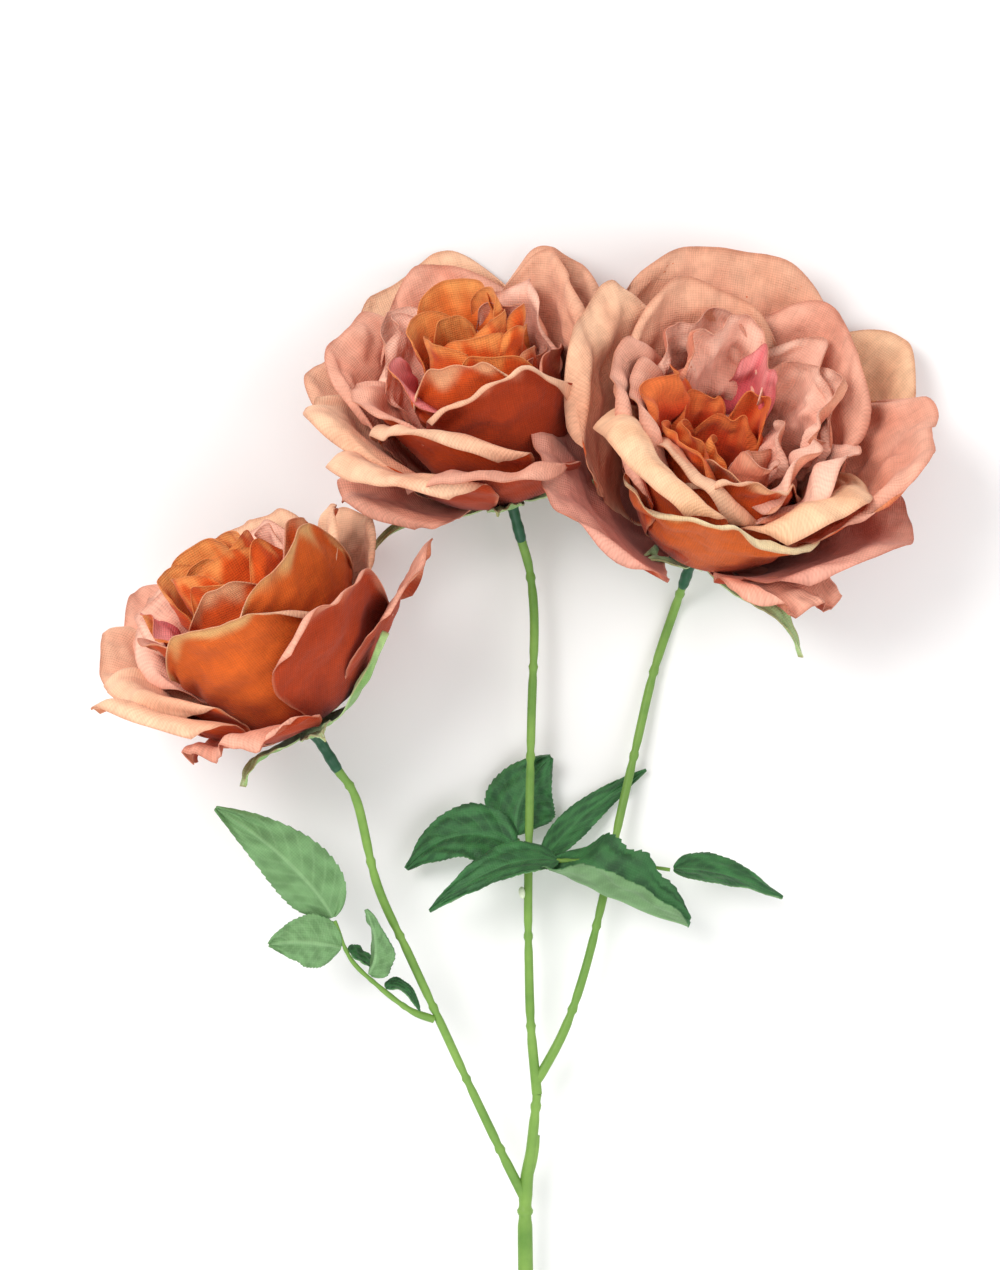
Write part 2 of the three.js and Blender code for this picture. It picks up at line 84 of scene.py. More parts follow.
table_mesh = bpy.data.meshes.new("table_top")
corners = [(x * TABLE_REACH, y * TABLE_REACH, 0) for x, y in ((-1, -1), (1, -1), (1, 1), (-1, 1))]
table_mesh.from_pydata(corners, [], [(0, 1, 2, 3)])
table_mesh.materials.append(new_material("white_table", Base_Color=(0.9, 0.9, 0.9, 1), Roughness=0.9)[0])
table_top = bpy.data.objects.new("table_top", table_mesh)
bpy.context.collection.objects.link(table_top)


def soft_lamp(name, place, size, power, colour=(1, 1, 1)):
    lamp = bpy.data.lights.new(name, "AREA")
    lamp.shape = "DISK"
    lamp.size = size
    lamp.energy = power
    lamp.color = colour
    holder = bpy.data.objects.new(name, lamp)
    holder.location = place
    holder.rotation_mode = "QUATERNION"
    holder.rotation_quaternion = (looked_at - Vector(place)).to_track_quat("-Z", "Y")
    bpy.context.collection.objects.link(holder)


soft_lamp("key_lamp", (-0.7, 0.6, 1.2), 0.8, 13, (1.0, 0.985, 0.96))
soft_lamp("fill_lamp", (1.1, -0.2, 1.1), 1.2, 6)
soft_lamp("front_lamp", (-0.1, -1.0, 0.8), 1.0, 6)

bpy.context.scene.view_settings.view_transform = "Standard"
surround = bpy.data.worlds.new("surround")
surround.use_nodes = True
surround.node_tree.nodes["Background"].inputs["Color"].default_value = (1, 1, 1, 1)
surround.node_tree.nodes["Background"].inputs["Strength"].default_value = SURROUND_LIGHT
bpy.context.scene.world = surround

# ---------------------------------------------------------------------------
# Petal cloth. Thin woven polyester, printed and dyed: rust outside, peach or
# mauve inside, with pale lips. Every petal carries its dye as an attribute, with
# painted shade darkening its base and painted light on the deep ruffles, and
# the cloth adds its own threads, streaks and blotches.
# ---------------------------------------------------------------------------
CLOTH_THICK = 0.00035


def dye(text):
    """A linear colour from its usual six-figure code."""
    parts = [int(text[i : i + 2], 16) / 255 for i in (0, 2, 4)]
    return np.array([p / 12.92 if p <= 0.04045 else ((p + 0.055) / 1.055) ** 2.4 for p in parts])


def ease(low, high, x):
    """Rises smoothly from 0 at low to 1 at high."""
    t = np.clip((x - low) / (high - low), 0, 1)
    return t * t * (3 - 2 * t)


def mix(a, b, t):
    return a + (b - a) * t


def node(tree, kind, place, *feeds, **values):
    """Adds a node. A value goes to its setting of that name, or else to its socket; feeds go to its
    first sockets. An output given as a value is linked, and a node stands for its first output."""
    made = tree.nodes.new(kind)
    made.location = place
    sockets = list(zip(made.inputs, feeds))
    for key, value in values.items():
        if hasattr(made, key):
            setattr(made, key, value)
        else:
            sockets.append((made.inputs[key.replace("_", " ")], value))
    for socket, value in sockets:
        if isinstance(value, bpy.types.Node):
            value = value.outputs[0]
        if isinstance(value, bpy.types.NodeSocket):
            tree.links.new(value, socket)
        else:
            socket.default_value = value
    return made


def woven_cloth(name, roughness, sheen, streak, thread_bump, shine=0.25):
    """Cloth that shows the colour in its tint attribute (dye, and on petals painted shade and light), with
    threads, streaks, blotches and creases.
    """
    material, tree, shader = new_material(name, Roughness=roughness, Specular_IOR_Level=shine)
    shader.inputs["Sheen Weight"].default_value = sheen
    shader.inputs["Sheen Roughness"].default_value = 0.5
    tint = node(tree, "ShaderNodeAttribute", (-1100, 300), attribute_name="tint")
    laid = node(tree, "ShaderNodeUVMap", (-1500, 0), uv_map="laid_flat")
    # threads: two sets of bands across each other, half a millimetre apart
    bands = {"Vector": laid, "Scale": 46.0, "Distortion": 0.5}
    warp = node(tree, "ShaderNodeTexWave", (-1100, -100), bands_direction="X", **bands).outputs["Fac"]
    weft = node(tree, "ShaderNodeTexWave", (-1100, -400), bands_direction="Y", **bands).outputs["Fac"]
    threads = node(tree, "ShaderNodeMath", (-900, -250), warp, weft, operation="ADD")
    weave = node(tree, "ShaderNodeMapRange", (-700, -250), threads, From_Max=2.0, To_Min=0.9, To_Max=1.08)
    # streaks run from the base of the petal to its lip
    stretch = node(tree, "ShaderNodeMapping", (-1300, -700), laid, Scale=(320, 14, 1))
    streaks = node(tree, "ShaderNodeTexNoise", (-1100, -700), stretch, Scale=1.0, Detail=5.0, Roughness=0.6)
    light = node(tree, "ShaderNodeMapRange", (-850, -700), streaks, From_Min=0.3, From_Max=0.7,
                 To_Min=1 - streak, To_Max=1 + streak)
    # blotches where the dye took unevenly, which crease the cloth too
    blotches = node(tree, "ShaderNodeTexNoise", (-1100, -950), laid, Scale=26.0, Detail=4.0, Roughness=0.55)
    uneven = node(tree, "ShaderNodeMapRange", (-850, -950), blotches, From_Min=0.3, From_Max=0.7,
                  To_Min=0.9, To_Max=1.1)
    both = node(tree, "ShaderNodeMath", (-650, -700), light, uneven, operation="MULTIPLY")
    shade = node(tree, "ShaderNodeMath", (-500, -500), both, weave, operation="MULTIPLY")
    dyed = node(tree, "ShaderNodeVectorMath", (-350, 200), tint, operation="SCALE", Scale=shade)
    bump = node(tree, "ShaderNodeBump", (-350, -250), Height=threads, Strength=thread_bump, Distance=0.0002)
    creases = node(tree, "ShaderNodeBump", (-200, -450), Height=blotches, Normal=bump, Strength=0.45,
                   Distance=0.001)
    tree.links.new(dyed.outputs["Vector"], shader.inputs["Base Color"])
    tree.links.new(creases.outputs["Normal"], shader.inputs["Normal"])
    return material


petal_cloth = woven_cloth("petal_cloth", 0.86, 0.08, 0.1, 0.35)

# dyes of one face of a petal: at the base, over the middle, at the lip. The dark base is partly dye and
# partly painted shade and glow of the bloom's deep centre
OUTSIDE = {
    "rust": (dye("6A1002"), dye("C64C14"), dye("E2A47A")),
    "dark_rust": (dye("560A04"), dye("A0340C"), dye("D08060")),
    "amber": (dye("8A2204"), dye("C65818"), dye("D9A468")),
    "pink": (dye("B04828"), dye("D98468"), dye("E4A284")),
    "heart": (dye("9A1404"), dye("D85618"), dye("F09650")),
}
INSIDE = {
    "peach": (dye("C04A1E"), dye("E4A484"), dye("F0C09E")),
    "pink": (dye("BC3A22"), dye("E0957C"), dye("E8AA92")),
    "mauve": (dye("8A382C"), dye("CF8474"), dye("DE9E8A")),
    "tan": (dye("C86434"), dye("E2A084"), dye("E6AE90")),
    "apricot": (dye("CC6834"), dye("EAAE86"), dye("F2C29C")),
    # ruffle is made lighter than its dye: painted light for ruffles that stand in shade deep in the bloom
    "ruffle": (dye("B44026"), dye("EEAE98"), dye("F4C2AC")),
    "scarlet": (dye("8A0806"), dye("CC4018"), dye("E2763C")),
    "cream": (dye("C8883C"), dye("E0C08A"), dye("F0DCB0")),
    "vivid": (dye("A01418"), dye("D65A62"), dye("E48A88")),
    "heart": (dye("A01606"), dye("E06A26"), dye("F6A45C")),
}


def waves(a, b, seed, count=7, low=2.0, high=7.0):
    """A smooth uneven field over a petal, about -1 to 1."""
    luck = np.random.default_rng(seed)
    total = np.zeros(np.broadcast_shapes(a.shape, b.shape))
    for _ in range(count):
        turn = luck.uniform(0, math.pi)
        pace = luck.uniform(low, high)
        total = total + np.sin(pace * (a * math.cos(turn) + b * math.sin(turn)) + luck.uniform(0, 6.3))
    return total / math.sqrt(count)


def cloth_sheet(grid, thick, flat_uv, over, under):
    """A closed thin sheet round a grid of points, over its +normal face and under the other."""
    across = np.gradient(grid, axis=1)
    upward = np.gradient(grid, axis=0)
    normal = np.cross(across, upward)
    normal /= np.maximum(np.linalg.norm(normal, axis=2, keepdims=True), 1e-9)
    rows, columns = grid.shape[:2]
    top = (grid + normal * thick / 2).reshape(-1, 3)
    bottom = (grid - normal * thick / 2).reshape(-1, 3)
    index = np.arange(rows * columns).reshape(rows, columns)
    a, b = index[:-1, :-1].ravel(), index[:-1, 1:].ravel()
    c, d = index[1:, 1:].ravel(), index[1:, :-1].ravel()
    count = rows * columns
    upper = np.stack([a, b, c, d], 1)
    lower = np.stack([d, c, b, a], 1) + count
    rim = np.concatenate([index[0, :-1], index[:-1, -1], index[-1, :0:-1], index[:0:-1, 0]])
    after = np.roll(rim, -1)
    edge = np.stack([rim, rim + count, after + count, after], 1)
    return {
        "points": np.concatenate([top, bottom]),
        "faces": np.concatenate([upper, lower, edge]),
        "uv": np.concatenate([flat_uv.reshape(-1, 2)] * 2),
        "tint": np.concatenate([over.reshape(-1, 3), under.reshape(-1, 3)]),
    }


def place_piece(name, mesh, slot, *nodes):
    """A finished piece that rides with the spray, in the place of these CAD nodes."""
    piece = bpy.data.objects.new(name, mesh)
    bpy.context.collection.objects.link(piece)
    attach(piece, "root")
    if nodes:
        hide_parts(*nodes)


def cloth_piece(name, sheets, material, slot, node_name):
    """Joins sheets into one mesh that carries their colours, painted shade and light included, and lies in
    the place of its CAD node.
    """
    points, faces, uv, tint, start = [], [], [], [], 0
    for sheet in sheets:
        points.append(sheet["points"])
        faces.append(sheet["faces"] + start)
        uv.append(sheet["uv"])
        tint.append(sheet["tint"])
        start += len(sheet["points"])
    points, faces = np.concatenate(points), np.concatenate(faces)
    uv, tint = np.concatenate(uv), np.concatenate(tint)
    mesh = bpy.data.meshes.new(name)
    mesh.from_pydata(points.tolist(), [], faces.tolist())
    layer = mesh.uv_layers.new(name="laid_flat")
    corners = np.empty(len(mesh.loops), np.int32)
    mesh.loops.foreach_get("vertex_index", corners)
    layer.data.foreach_set("uv", uv[corners].astype(np.float32).ravel())
    colour = mesh.color_attributes.new("tint", "FLOAT_COLOR", "POINT")
    filled = np.concatenate([tint, np.ones((len(tint), 1))], 1)
    colour.data.foreach_set("color", filled.astype(np.float32).ravel())
    mesh.polygons.foreach_set("use_smooth", [True] * len(mesh.polygons))
    mesh.set_sharp_from_angle(angle=math.radians(62))
    mesh.materials.append(material)
    mesh.update()
    place_piece(name, mesh, slot, node_name)


# ---------------------------------------------------------------------------
# Petals. Each is die-cut, then pressed hot: it leaves the hub, turns up into a
# wall, and its lip rolls outwards. The rings stand on a peg, the outermost
# lowest, and each petal overlaps the next one like a pinwheel.
# ---------------------------------------------------------------------------
RINGS = {
    "guard": {"hub": 9, "start": 4, "height": 0, "slot": "outer_petal"},
    "second": {"hub": 7.8, "start": 12, "height": 1.4, "slot": "outer_petal"},
    "third": {"hub": 6.6, "start": 22, "height": 2.8, "slot": "middle_petal"},
    "inner": {"hub": 5.4, "start": 34, "height": 4.2, "slot": "middle_petal"},
    "heart": {"hub": 4.2, "start": 50, "height": 5.6, "slot": "heart_petal"},
}
PEG_MIDDLE = 8.55  # from a bloom's lowest hub to the middle of its peg, in millimetres
FINE_STEPS = 4  # to each row of points
SOFT_CLOTH = 0.003  # petals flatten where they come lower than twice this, in metres
USUAL = {
    "turned": 0.3, "rolls": 0.74, "cup": 1.0, "curl": 2.0, "wave": 1.2, "waves": 1.5, "crease": 0.7,
    "lift": 2.2, "drop": 0.28, "scallop": 0.03, "flat": 0.0, "raised": 0.0,
}


def petal(azimuth, length, width, wall, rim, outside, inside, **more):
    """One petal: its place round the bloom, where 0 is up and 90 is to the right, in degrees, its length
    and half width in millimetres, the slopes of its wall and of its lip, and the dyes of its two faces.
    turned is the share of its length where the wall is up, and rolls where the lip begins to roll.
    cup and curl bow its middle and its sides, wave, waves and crease ripple it, and lift sets one side
    over the next petal. drop rounds its corners, scallop makes its lip uneven, flat is a least radius
    to bend round, and raised lifts it along the peg."""
    shape = dict(azimuth=azimuth, length=length, width=width, wall=wall, rim=rim)
    return {**shape, "outside": outside, "inside": inside, **USUAL, **more}


def petal_grid(shape, ring, seed, across=41, along=49):
    """Points of one petal on a bloom that stands on its own axis, in millimetres."""
    u = np.linspace(-1, 1, across)[None, :]
    v = np.linspace(0, 1, along)[:, None]
    vf = np.linspace(0, 1, (along - 1) * FINE_STEPS + 1)[:, None]
    luck = np.random.default_rng(seed + 2)
    phase = luck.uniform(0, 6.3)
    # its outline, laid flat
    full = 1 - shape["drop"] * np.abs(u) ** 2.8
    full = shape["length"] * (full + shape["scallop"] * np.sin(5.5 * u + 2 * phase))
    share = v * full / shape["length"]
    half = shape["width"] * mix(0.3, 1, ease(0, 0.6, share)) * (1 - 0.2 * v**6)
    # its slope from hub to lip, added up in short steps
    rising = mix(ring["start"], shape["wall"], ease(0, shape["turned"], vf * full / shape["length"]))
    slope = np.radians(mix(rising, shape["rim"], ease(shape["rolls"], 1.06, vf + 0 * u)))
    step = full / (len(vf) - 1)
    r = ring["hub"] + np.concatenate([0 * u, np.cumsum((np.cos(slope) * step)[:-1], 0)])
    z = ring["height"] + np.concatenate([0 * u, np.cumsum((np.sin(slope) * step)[:-1], 0)])
    r, z, slope = r[::FINE_STEPS], z[::FINE_STEPS], slope[::FINE_STEPS]
    # how far the cloth stands out from that smooth bend
    rough = waves(u * half / 12, v * shape["length"] / 12, seed)
    fine_rough = waves(u * half / 5, v * shape["length"] / 5, seed + 1)
    out = shape["cup"] * (1 - u**2) * ease(0, 0.5, v) * ease(1.15, 0.6, v)
    out = out + shape["curl"] * ease(0.5, 1.05, np.abs(u)) * ease(0.3, 0.9, v)
    turns = math.pi * shape["waves"] * u
    out = out + shape["wave"] * np.sin(turns + phase) * ease(0.45, 1, v) ** 1.5
    out = out + 0.4 * shape["wave"] * np.sin(2.7 * turns + 2 * phase) * ease(0.75, 1, v)
    out = out + shape["crease"] * (rough * ease(0.15, 0.6, v) + 0.3 * fine_rough * ease(0.2, 0.8, v))
    out = out + shape["lift"] * u * ease(0.1, 0.5, v)
    least_bend = max(shape["flat"], 0.55 * shape["width"] + 2)
    turn = np.radians(shape["azimuth"]) + u * half / np.maximum(r, least_bend)
    radius = r + np.sin(slope) * out
    height = z - np.cos(slope) * out
    grid = np.stack([radius * np.cos(turn), radius * np.sin(turn), height + 0 * turn], 2)
    flat = np.stack([u * half / 100, share * shape["length"] / 100], 2)
    return grid, flat, u + 0 * v, v + 0 * u


CUT_EDGE = dye("A04A28")


def petal_dye_and_shade(dyes, u, v, seed, body_from, lip_from):
    """Dyes that run from the base to the body and on to the lip, with a singed cut edge; on petals the dark
    base is painted shade of the bloom's depths as well as dye.
    """
    base, body, lip = dyes
    uneven = 0.06 * waves(u * 3, v * 4, seed)
    reach_out = np.maximum(v, 0.86 * np.abs(u) ** 3 + 0.1)
    # the base colour darkens the petal's root: partly dye, partly painted shade and glow deep in the bloom
    colour = mix(base, body, ease(0.02, body_from, v + uneven)[..., None])
    colour = mix(colour, lip, ease(lip_from, 1.0, reach_out + uneven)[..., None])
    cut = ease(0.972, 1.0, np.maximum(v, np.abs(u) * 0.997 * ease(0.2, 0.5, v)))[..., None]
    return mix(colour, CUT_EDGE * (0.5 + 0.5 * colour), 0.45 * cut)


def press_on_table(points):
    """Cloth that would reach below the table is pressed flat along it."""
    height = points[:, 2]
    pressed = SOFT_CLOTH * np.exp(np.minimum(height - 2 * SOFT_CLOTH, 0) / (2 * SOFT_CLOTH)) * 2
    points[:, 2] = np.where(height < 2 * SOFT_CLOTH, pressed, height)
    return points


def bloom_place(name, heading, tilt):
    """Turns points on a bloom's own axis, in millimetres, into the spray's frame, in metres."""
    low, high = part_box(name + "_peg")
    h, t = math.radians(heading), math.radians(tilt)
    axis = np.array([math.cos(h) * math.cos(t), math.sin(h) * math.cos(t), math.sin(t)])
    up = np.array([0, 0, 1]) - axis * axis[2]
    up /= np.linalg.norm(up)
    right = np.cross(axis, up)
    origin = np.array((low + high) / 2) - axis * PEG_MIDDLE / 1000
    turned = np.stack([up, right, axis])
    return lambda grid: origin + (np.asarray(grid) @ turned) / 1000, axis, origin


def petal_ring(bloom, place, ring_name, size, rows, seed, across=41, along=49):
    """One ring of petals as one piece, in the place of its CAD node."""
    sheets = []
    for i, shape in enumerate(rows):
        shape = {**shape, "length": shape["length"] * size, "width": shape["width"] * size}
        ring = {**RINGS[ring_name], "height": RINGS[ring_name]["height"] + shape["raised"]}
        grid, flat, u, v = petal_grid(shape, ring, seed + 31 * i, across, along)
        over = petal_dye_and_shade(OUTSIDE[shape["outside"]], u, v, seed + i, 0.5, 0.88)
        under = petal_dye_and_shade(INSIDE[shape["inside"]], u, v, seed + i + 7, 0.55, 0.72)
        sheet = cloth_sheet(place(grid), CLOTH_THICK, flat, over, under)
        sheet["points"] = press_on_table(sheet["points"])
        sheets.append(sheet)
    name = f"{bloom}_{ring_name}_petals"
    cloth_piece(f"{name}_cloth", sheets, petal_cloth, RINGS[ring_name]["slot"], name)


# ---------------------------------------------------------------------------
# Right bloom. The widest and most open one, tilted up so that its ruffled heart
# shows; its lowest petals have bent back and faded to mauve.
# ---------------------------------------------------------------------------
right_place, right_axis, right_origin = bloom_place("right", 72, 41)
petal_ring("right", right_place, "guard", 1.0, [
    petal(195, 84, 46, 59, 44, "rust", "tan", rolls=0.8, curl=1.0, wave=0.5, crease=1.6, drop=0.2,
          scallop=0.01),
    petal(147, 79, 34, 47, 24, "rust", "apricot", wave=0.8),
    petal(84, 59, 34, 44, 10, "dark_rust", "mauve", wave=1.6),
    petal(52, 45, 19, 40, -20, "dark_rust", "pink", rolls=0.5, curl=2.5, wave=3.0, waves=3, crease=1.4),
    petal(296, 59, 34, 41, 4, "dark_rust", "mauve", wave=1.8, waves=2),
    petal(246, 77, 32, 63, 16, "rust", "peach", curl=3.0, crease=1.2),
], 11)
petal_ring("right", right_place, "second", 1.0, [
    petal(4, 54, 40, 58, 6, "amber", "cream", rolls=0.84, curl=0.6, wave=1.6, lift=1.4, scallop=0.07,
          raised=-0.8),
    petal(70, 62, 24, 70, -24, "rust", "apricot", rolls=0.7, wave=1.8, curl=1.0),
    petal(106, 75, 34, 57, 30, "rust", "pink", rolls=0.8, crease=1.2),
    petal(158, 74, 34, 68, 50, "pink", "pink", rolls=0.8, wave=1.5, crease=1.5),
    petal(214, 74, 34, 70, 54, "pink", "tan", rolls=0.8, wave=1.5, crease=1.3),
    petal(270, 66, 28, 72, 10, "rust", "pink", rolls=0.8, wave=1.5),
    petal(316, 71, 27, 74, -84, "rust", "apricot", rolls=0.72, curl=0.6, wave=0.5, drop=0.22),
], 211)
petal_ring("right", right_place, "third", 1.0, [
    petal(24, 50, 24, 76, 10, "rust", "peach", rolls=0.84, wave=1.6, waves=2, crease=1.0),
    petal(84, 56, 24, 70, 40, "pink", "ruffle", rolls=0.76, wave=2.6, waves=1.4, crease=1.8),
    petal(150, 62, 26, 70, 76, "pink", "ruffle", rolls=0.7, wave=3.6, waves=1.1, crease=2.4, flat=26),
    petal(216, 64, 26, 72, 80, "pink", "ruffle", rolls=0.7, wave=3.6, waves=1.1, crease=2.4, flat=26),
    petal(278, 60, 26, 75, 10, "rust", "pink", rolls=0.76, wave=1.6, crease=1.2),
    petal(330, 52, 24, 78, -20, "rust", "peach", rolls=0.78, crease=1.0),
], 411)
petal_ring("right", right_place, "inner", 1.0, [
    petal(2, 44, 17, 80, 40, "rust", "apricot", waves=1.0, crease=0.9, drop=0.3, flat=18),
    petal(76, 50, 20, 74, 66, "pink", "ruffle", wave=3.6, waves=0.9, crease=2.2, drop=0.2, flat=22),
    petal(134, 58, 22, 72, 90, "pink", "ruffle", wave=4.0, waves=0.9, crease=2.6, drop=0.2, flat=26),
    petal(176, 56, 7, 80, 90, "pink", "vivid", wave=1.6, waves=1.0, crease=1.4, drop=0.1, flat=16),
    petal(212, 62, 24, 75, 100, "pink", "ruffle", wave=4.0, waves=0.9, crease=2.6, drop=0.2, flat=26),
    petal(268, 55, 18, 75, 60, "heart", "scarlet", wave=2.8, waves=1.0, crease=1.8, drop=0.3, flat=18),
    petal(318, 50, 18, 77, 50, "heart", "scarlet", wave=2.4, waves=1.0, crease=1.4, drop=0.3, flat=16),
], 611, 41, 45)
petal_ring("right", right_place, "heart", 1.0, [
    petal(40, 42, 14, 82, 70, "pink", "ruffle", wave=2.4, waves=0.9, crease=1.6, drop=0.25, flat=18),
    petal(112, 43, 15, 80, 84, "pink", "ruffle", wave=2.8, waves=0.9, crease=2.0, drop=0.25, flat=20),
    petal(168, 43, 13, 82, 90, "heart", "scarlet", wave=2.6, waves=0.9, crease=1.8, drop=0.3, flat=18),
    petal(236, 43, 14, 80, 84, "heart", "scarlet", wave=2.6, waves=0.9, crease=1.8, drop=0.3, flat=18),
    petal(300, 41, 14, 80, 70, "heart", "scarlet", wave=2.4, waves=0.9, crease=1.6, drop=0.3, flat=16),
    petal(60, 36, 9, 90, 100, "pink", "mauve", wave=1.6, waves=1.0, crease=1.2, drop=0.2),
    petal(190, 38, 9, 90, 100, "heart", "scarlet", wave=1.6, waves=1.0, crease=1.2, drop=0.2),
    petal(310, 36, 9, 90, 100, "heart", "scarlet", wave=1.6, waves=1.0, crease=1.2, drop=0.2),
], 811, 33, 37)

# ---------------------------------------------------------------------------
# Centre bloom. It stands behind the right one and leans to the left; its tall
# back petals are peach, and its right side is squeezed nearly upright.
# ---------------------------------------------------------------------------
centre_place, centre_axis, centre_origin = bloom_place("centre", 105, 25)


def round_petal(azimuth, length, width, wall, rim, wave=0.4, crease=0.7, flat=0.0):
    """A small petal of a tight orange heart, with a smooth round lip."""
    return petal(azimuth, length, width, wall, rim, "heart", "heart", wave=wave, waves=1.0, crease=crease,
                 flat=flat, drop=0.08, curl=0, scallop=0)


petal_ring("centre", centre_place, "guard", 0.9, [
    petal(190, 80, 40, 62, 40, "rust", "peach", rolls=0.8, curl=1.5, crease=1.3),
    petal(140, 76, 32, 60, 40, "rust", "tan", rolls=0.8, turned=0.22, crease=1.2),
    petal(72, 50, 24, 76, 60, "dark_rust", "pink", turned=0.16),
    petal(346, 50, 34, 48, -30, "dark_rust", "pink", rolls=0.7, wave=1.0),
    petal(304, 63, 32, 50, -40, "dark_rust", "peach", rolls=0.7),
    petal(280, 47, 23, 28, -10, "dark_rust", "pink", rolls=0.66, wave=1.8),
    petal(240, 69, 33, 57, 10, "rust", "tan", curl=3),
], 1011)
petal_ring("centre", centre_place, "second", 0.9, [
    petal(12, 60, 32, 72, -30, "dark_rust", "peach", rolls=0.82, turned=0.24),
    petal(75, 46, 24, 79, 70, "dark_rust", "pink", turned=0.16),
    petal(130, 72, 30, 68, 50, "rust", "tan", rolls=0.8, turned=0.22),
    petal(188, 74, 33, 67, 48, "rust", "pink", rolls=0.8, crease=1.3),
    petal(232, 70, 30, 64, 30, "rust", "pink", rolls=0.78, crease=1.2),
    petal(272, 66, 30, 54, -10, "rust", "peach"),
    petal(320, 58, 30, 63, -40, "rust", "peach", rolls=0.76),
], 1211)
petal_ring("centre", centre_place, "third", 0.9, [
    petal(350, 60, 26, 77, 20, "rust", "apricot", rolls=0.86, wave=1.4, crease=0.8),
    petal(72, 46, 22, 80, 76, "rust", "peach", turned=0.18),
    petal(142, 62, 26, 75, 60, "pink", "ruffle", wave=2.8, waves=1.6, crease=1.6),
    petal(214, 62, 26, 71, 60, "pink", "ruffle", wave=2.8, waves=1.6, crease=1.6),
    petal(280, 58, 26, 66, 0, "rust", "pink", wave=1.6, crease=1.0),
], 1411)
petal_ring("centre", centre_place, "inner", 0.9, [
    petal(10, 54, 18, 80, 70, "heart", "heart", wave=0.9, waves=1.0, crease=0.9, drop=0.3, flat=16),
    petal(66, 54, 16, 84, 70, "heart", "heart", wave=0.9, waves=1.0, crease=0.9, turned=0.2, drop=0.3),
    petal(118, 56, 17, 84, 84, "heart", "ruffle", wave=2.4, waves=1.1, crease=1.6, turned=0.16, drop=0.2),
    petal(172, 60, 20, 78, 80, "pink", "ruffle", wave=3.0, waves=1.1, crease=2.0, drop=0.2, flat=22),
    petal(230, 59, 20, 75, 70, "pink", "ruffle", wave=3.0, waves=1.1, crease=2.0, drop=0.2, flat=22),
    petal(290, 55, 18, 75, 50, "heart", "vivid", wave=1.8, waves=1.1, crease=1.4, drop=0.25, flat=16),
], 1611, 37, 41)
petal_ring("centre", centre_place, "heart", 0.9, [
    round_petal(0, 53, 16, 86, 96),
    round_petal(60, 55, 15, 87, 98),
    round_petal(120, 60, 17, 86, 98, wave=0.5, crease=0.8, flat=16),
    round_petal(180, 63, 19, 82, 90, wave=0.6, crease=0.9, flat=18),
    round_petal(240, 57, 17, 82, 88, wave=0.5, crease=0.8, flat=16),
    round_petal(300, 54, 16, 84, 92),
    round_petal(90, 51, 10, 90, 102),
    round_petal(210, 54, 10, 90, 102),
    round_petal(330, 50, 10, 90, 102),
], 1811, 33, 37)

# ---------------------------------------------------------------------------
# Left bloom. It lies nearly level and shows the rust outsides of its petals;
# its heart looks up and to the left.
# ---------------------------------------------------------------------------
left_place, left_axis, left_origin = bloom_place("left", 121, 12)
petal_ring("left", left_place, "guard", 0.9, [
    petal(175, 74, 36, 60, 30, "rust", "peach", crease=1.2),
    petal(122, 67, 30, 54, 16, "rust", "peach", rolls=0.8),
    petal(80, 62, 28, 37, 0, "dark_rust", "pink", wave=1.6),
    petal(40, 61, 28, 51, 0, "dark_rust", "pink", rolls=0.78, lift=3.0),
    petal(318, 38, 27, 34, -20, "dark_rust", "pink", rolls=0.6, wave=2.2, waves=3, crease=1.2),
    petal(282, 64, 30, 54, 0, "rust", "peach", rolls=0.72, wave=1.4),
    petal(240, 69, 32, 64, 10, "rust", "tan", rolls=0.76, crease=1.2),
], 2011)
petal_ring("left", left_place, "second", 0.9, [
    petal(346, 60, 33, 66, 14, "amber", "peach", rolls=0.84, curl=1.2, wave=0.6, lift=2.4, drop=0.22),
    petal(40, 68, 34, 68, 30, "amber", "peach", rolls=0.84, curl=1.2, wave=0.7, lift=2.8),
    petal(100, 66, 30, 68, 30, "rust", "peach", lift=2.8),
    petal(160, 70, 32, 68, 30, "rust", "peach"),
    petal(215, 70, 32, 64, 20, "rust", "pink", crease=1.2),
    petal(272, 61, 28, 61, -30, "rust", "peach", rolls=0.7),
], 2211)
petal_ring("left", left_place, "third", 0.9, [
    petal(358, 60, 26, 76, 20, "rust", "apricot", rolls=0.86, wave=0.8),
    petal(78, 62, 26, 76, 50, "rust", "pink", wave=1.4),
    petal(154, 62, 26, 74, 50, "pink", "ruffle", wave=2.4, crease=1.4),
    petal(226, 60, 26, 71, 40, "pink", "ruffle", wave=2.6, crease=1.6),
    petal(298, 56, 27, 72, 20, "rust", "pink", rolls=0.8, wave=1.4),
], 2411)
petal_ring("left", left_place, "inner", 0.9, [
    petal(350, 57, 18, 80, 70, "heart", "heart", wave=0.8, waves=1.0, crease=0.8, drop=0.34, flat=16),
    petal(50, 58, 18, 80, 76, "heart", "heart", wave=0.8, waves=1.0, crease=0.8, drop=0.34, flat=16),
    petal(110, 58, 19, 79, 76, "heart", "ruffle", wave=2.2, waves=1.1, crease=1.4, drop=0.25, flat=18),
    petal(170, 59, 19, 78, 76, "pink", "ruffle", wave=2.8, waves=1.1, crease=1.8, drop=0.2, flat=20),
    petal(230, 58, 19, 75, 66, "pink", "ruffle", wave=2.8, waves=1.1, crease=1.8, drop=0.2, flat=20),
    petal(290, 57, 19, 75, 50, "heart", "vivid", wave=2.2, waves=1.1, crease=1.4, drop=0.25, flat=18),
], 2611, 37, 41)
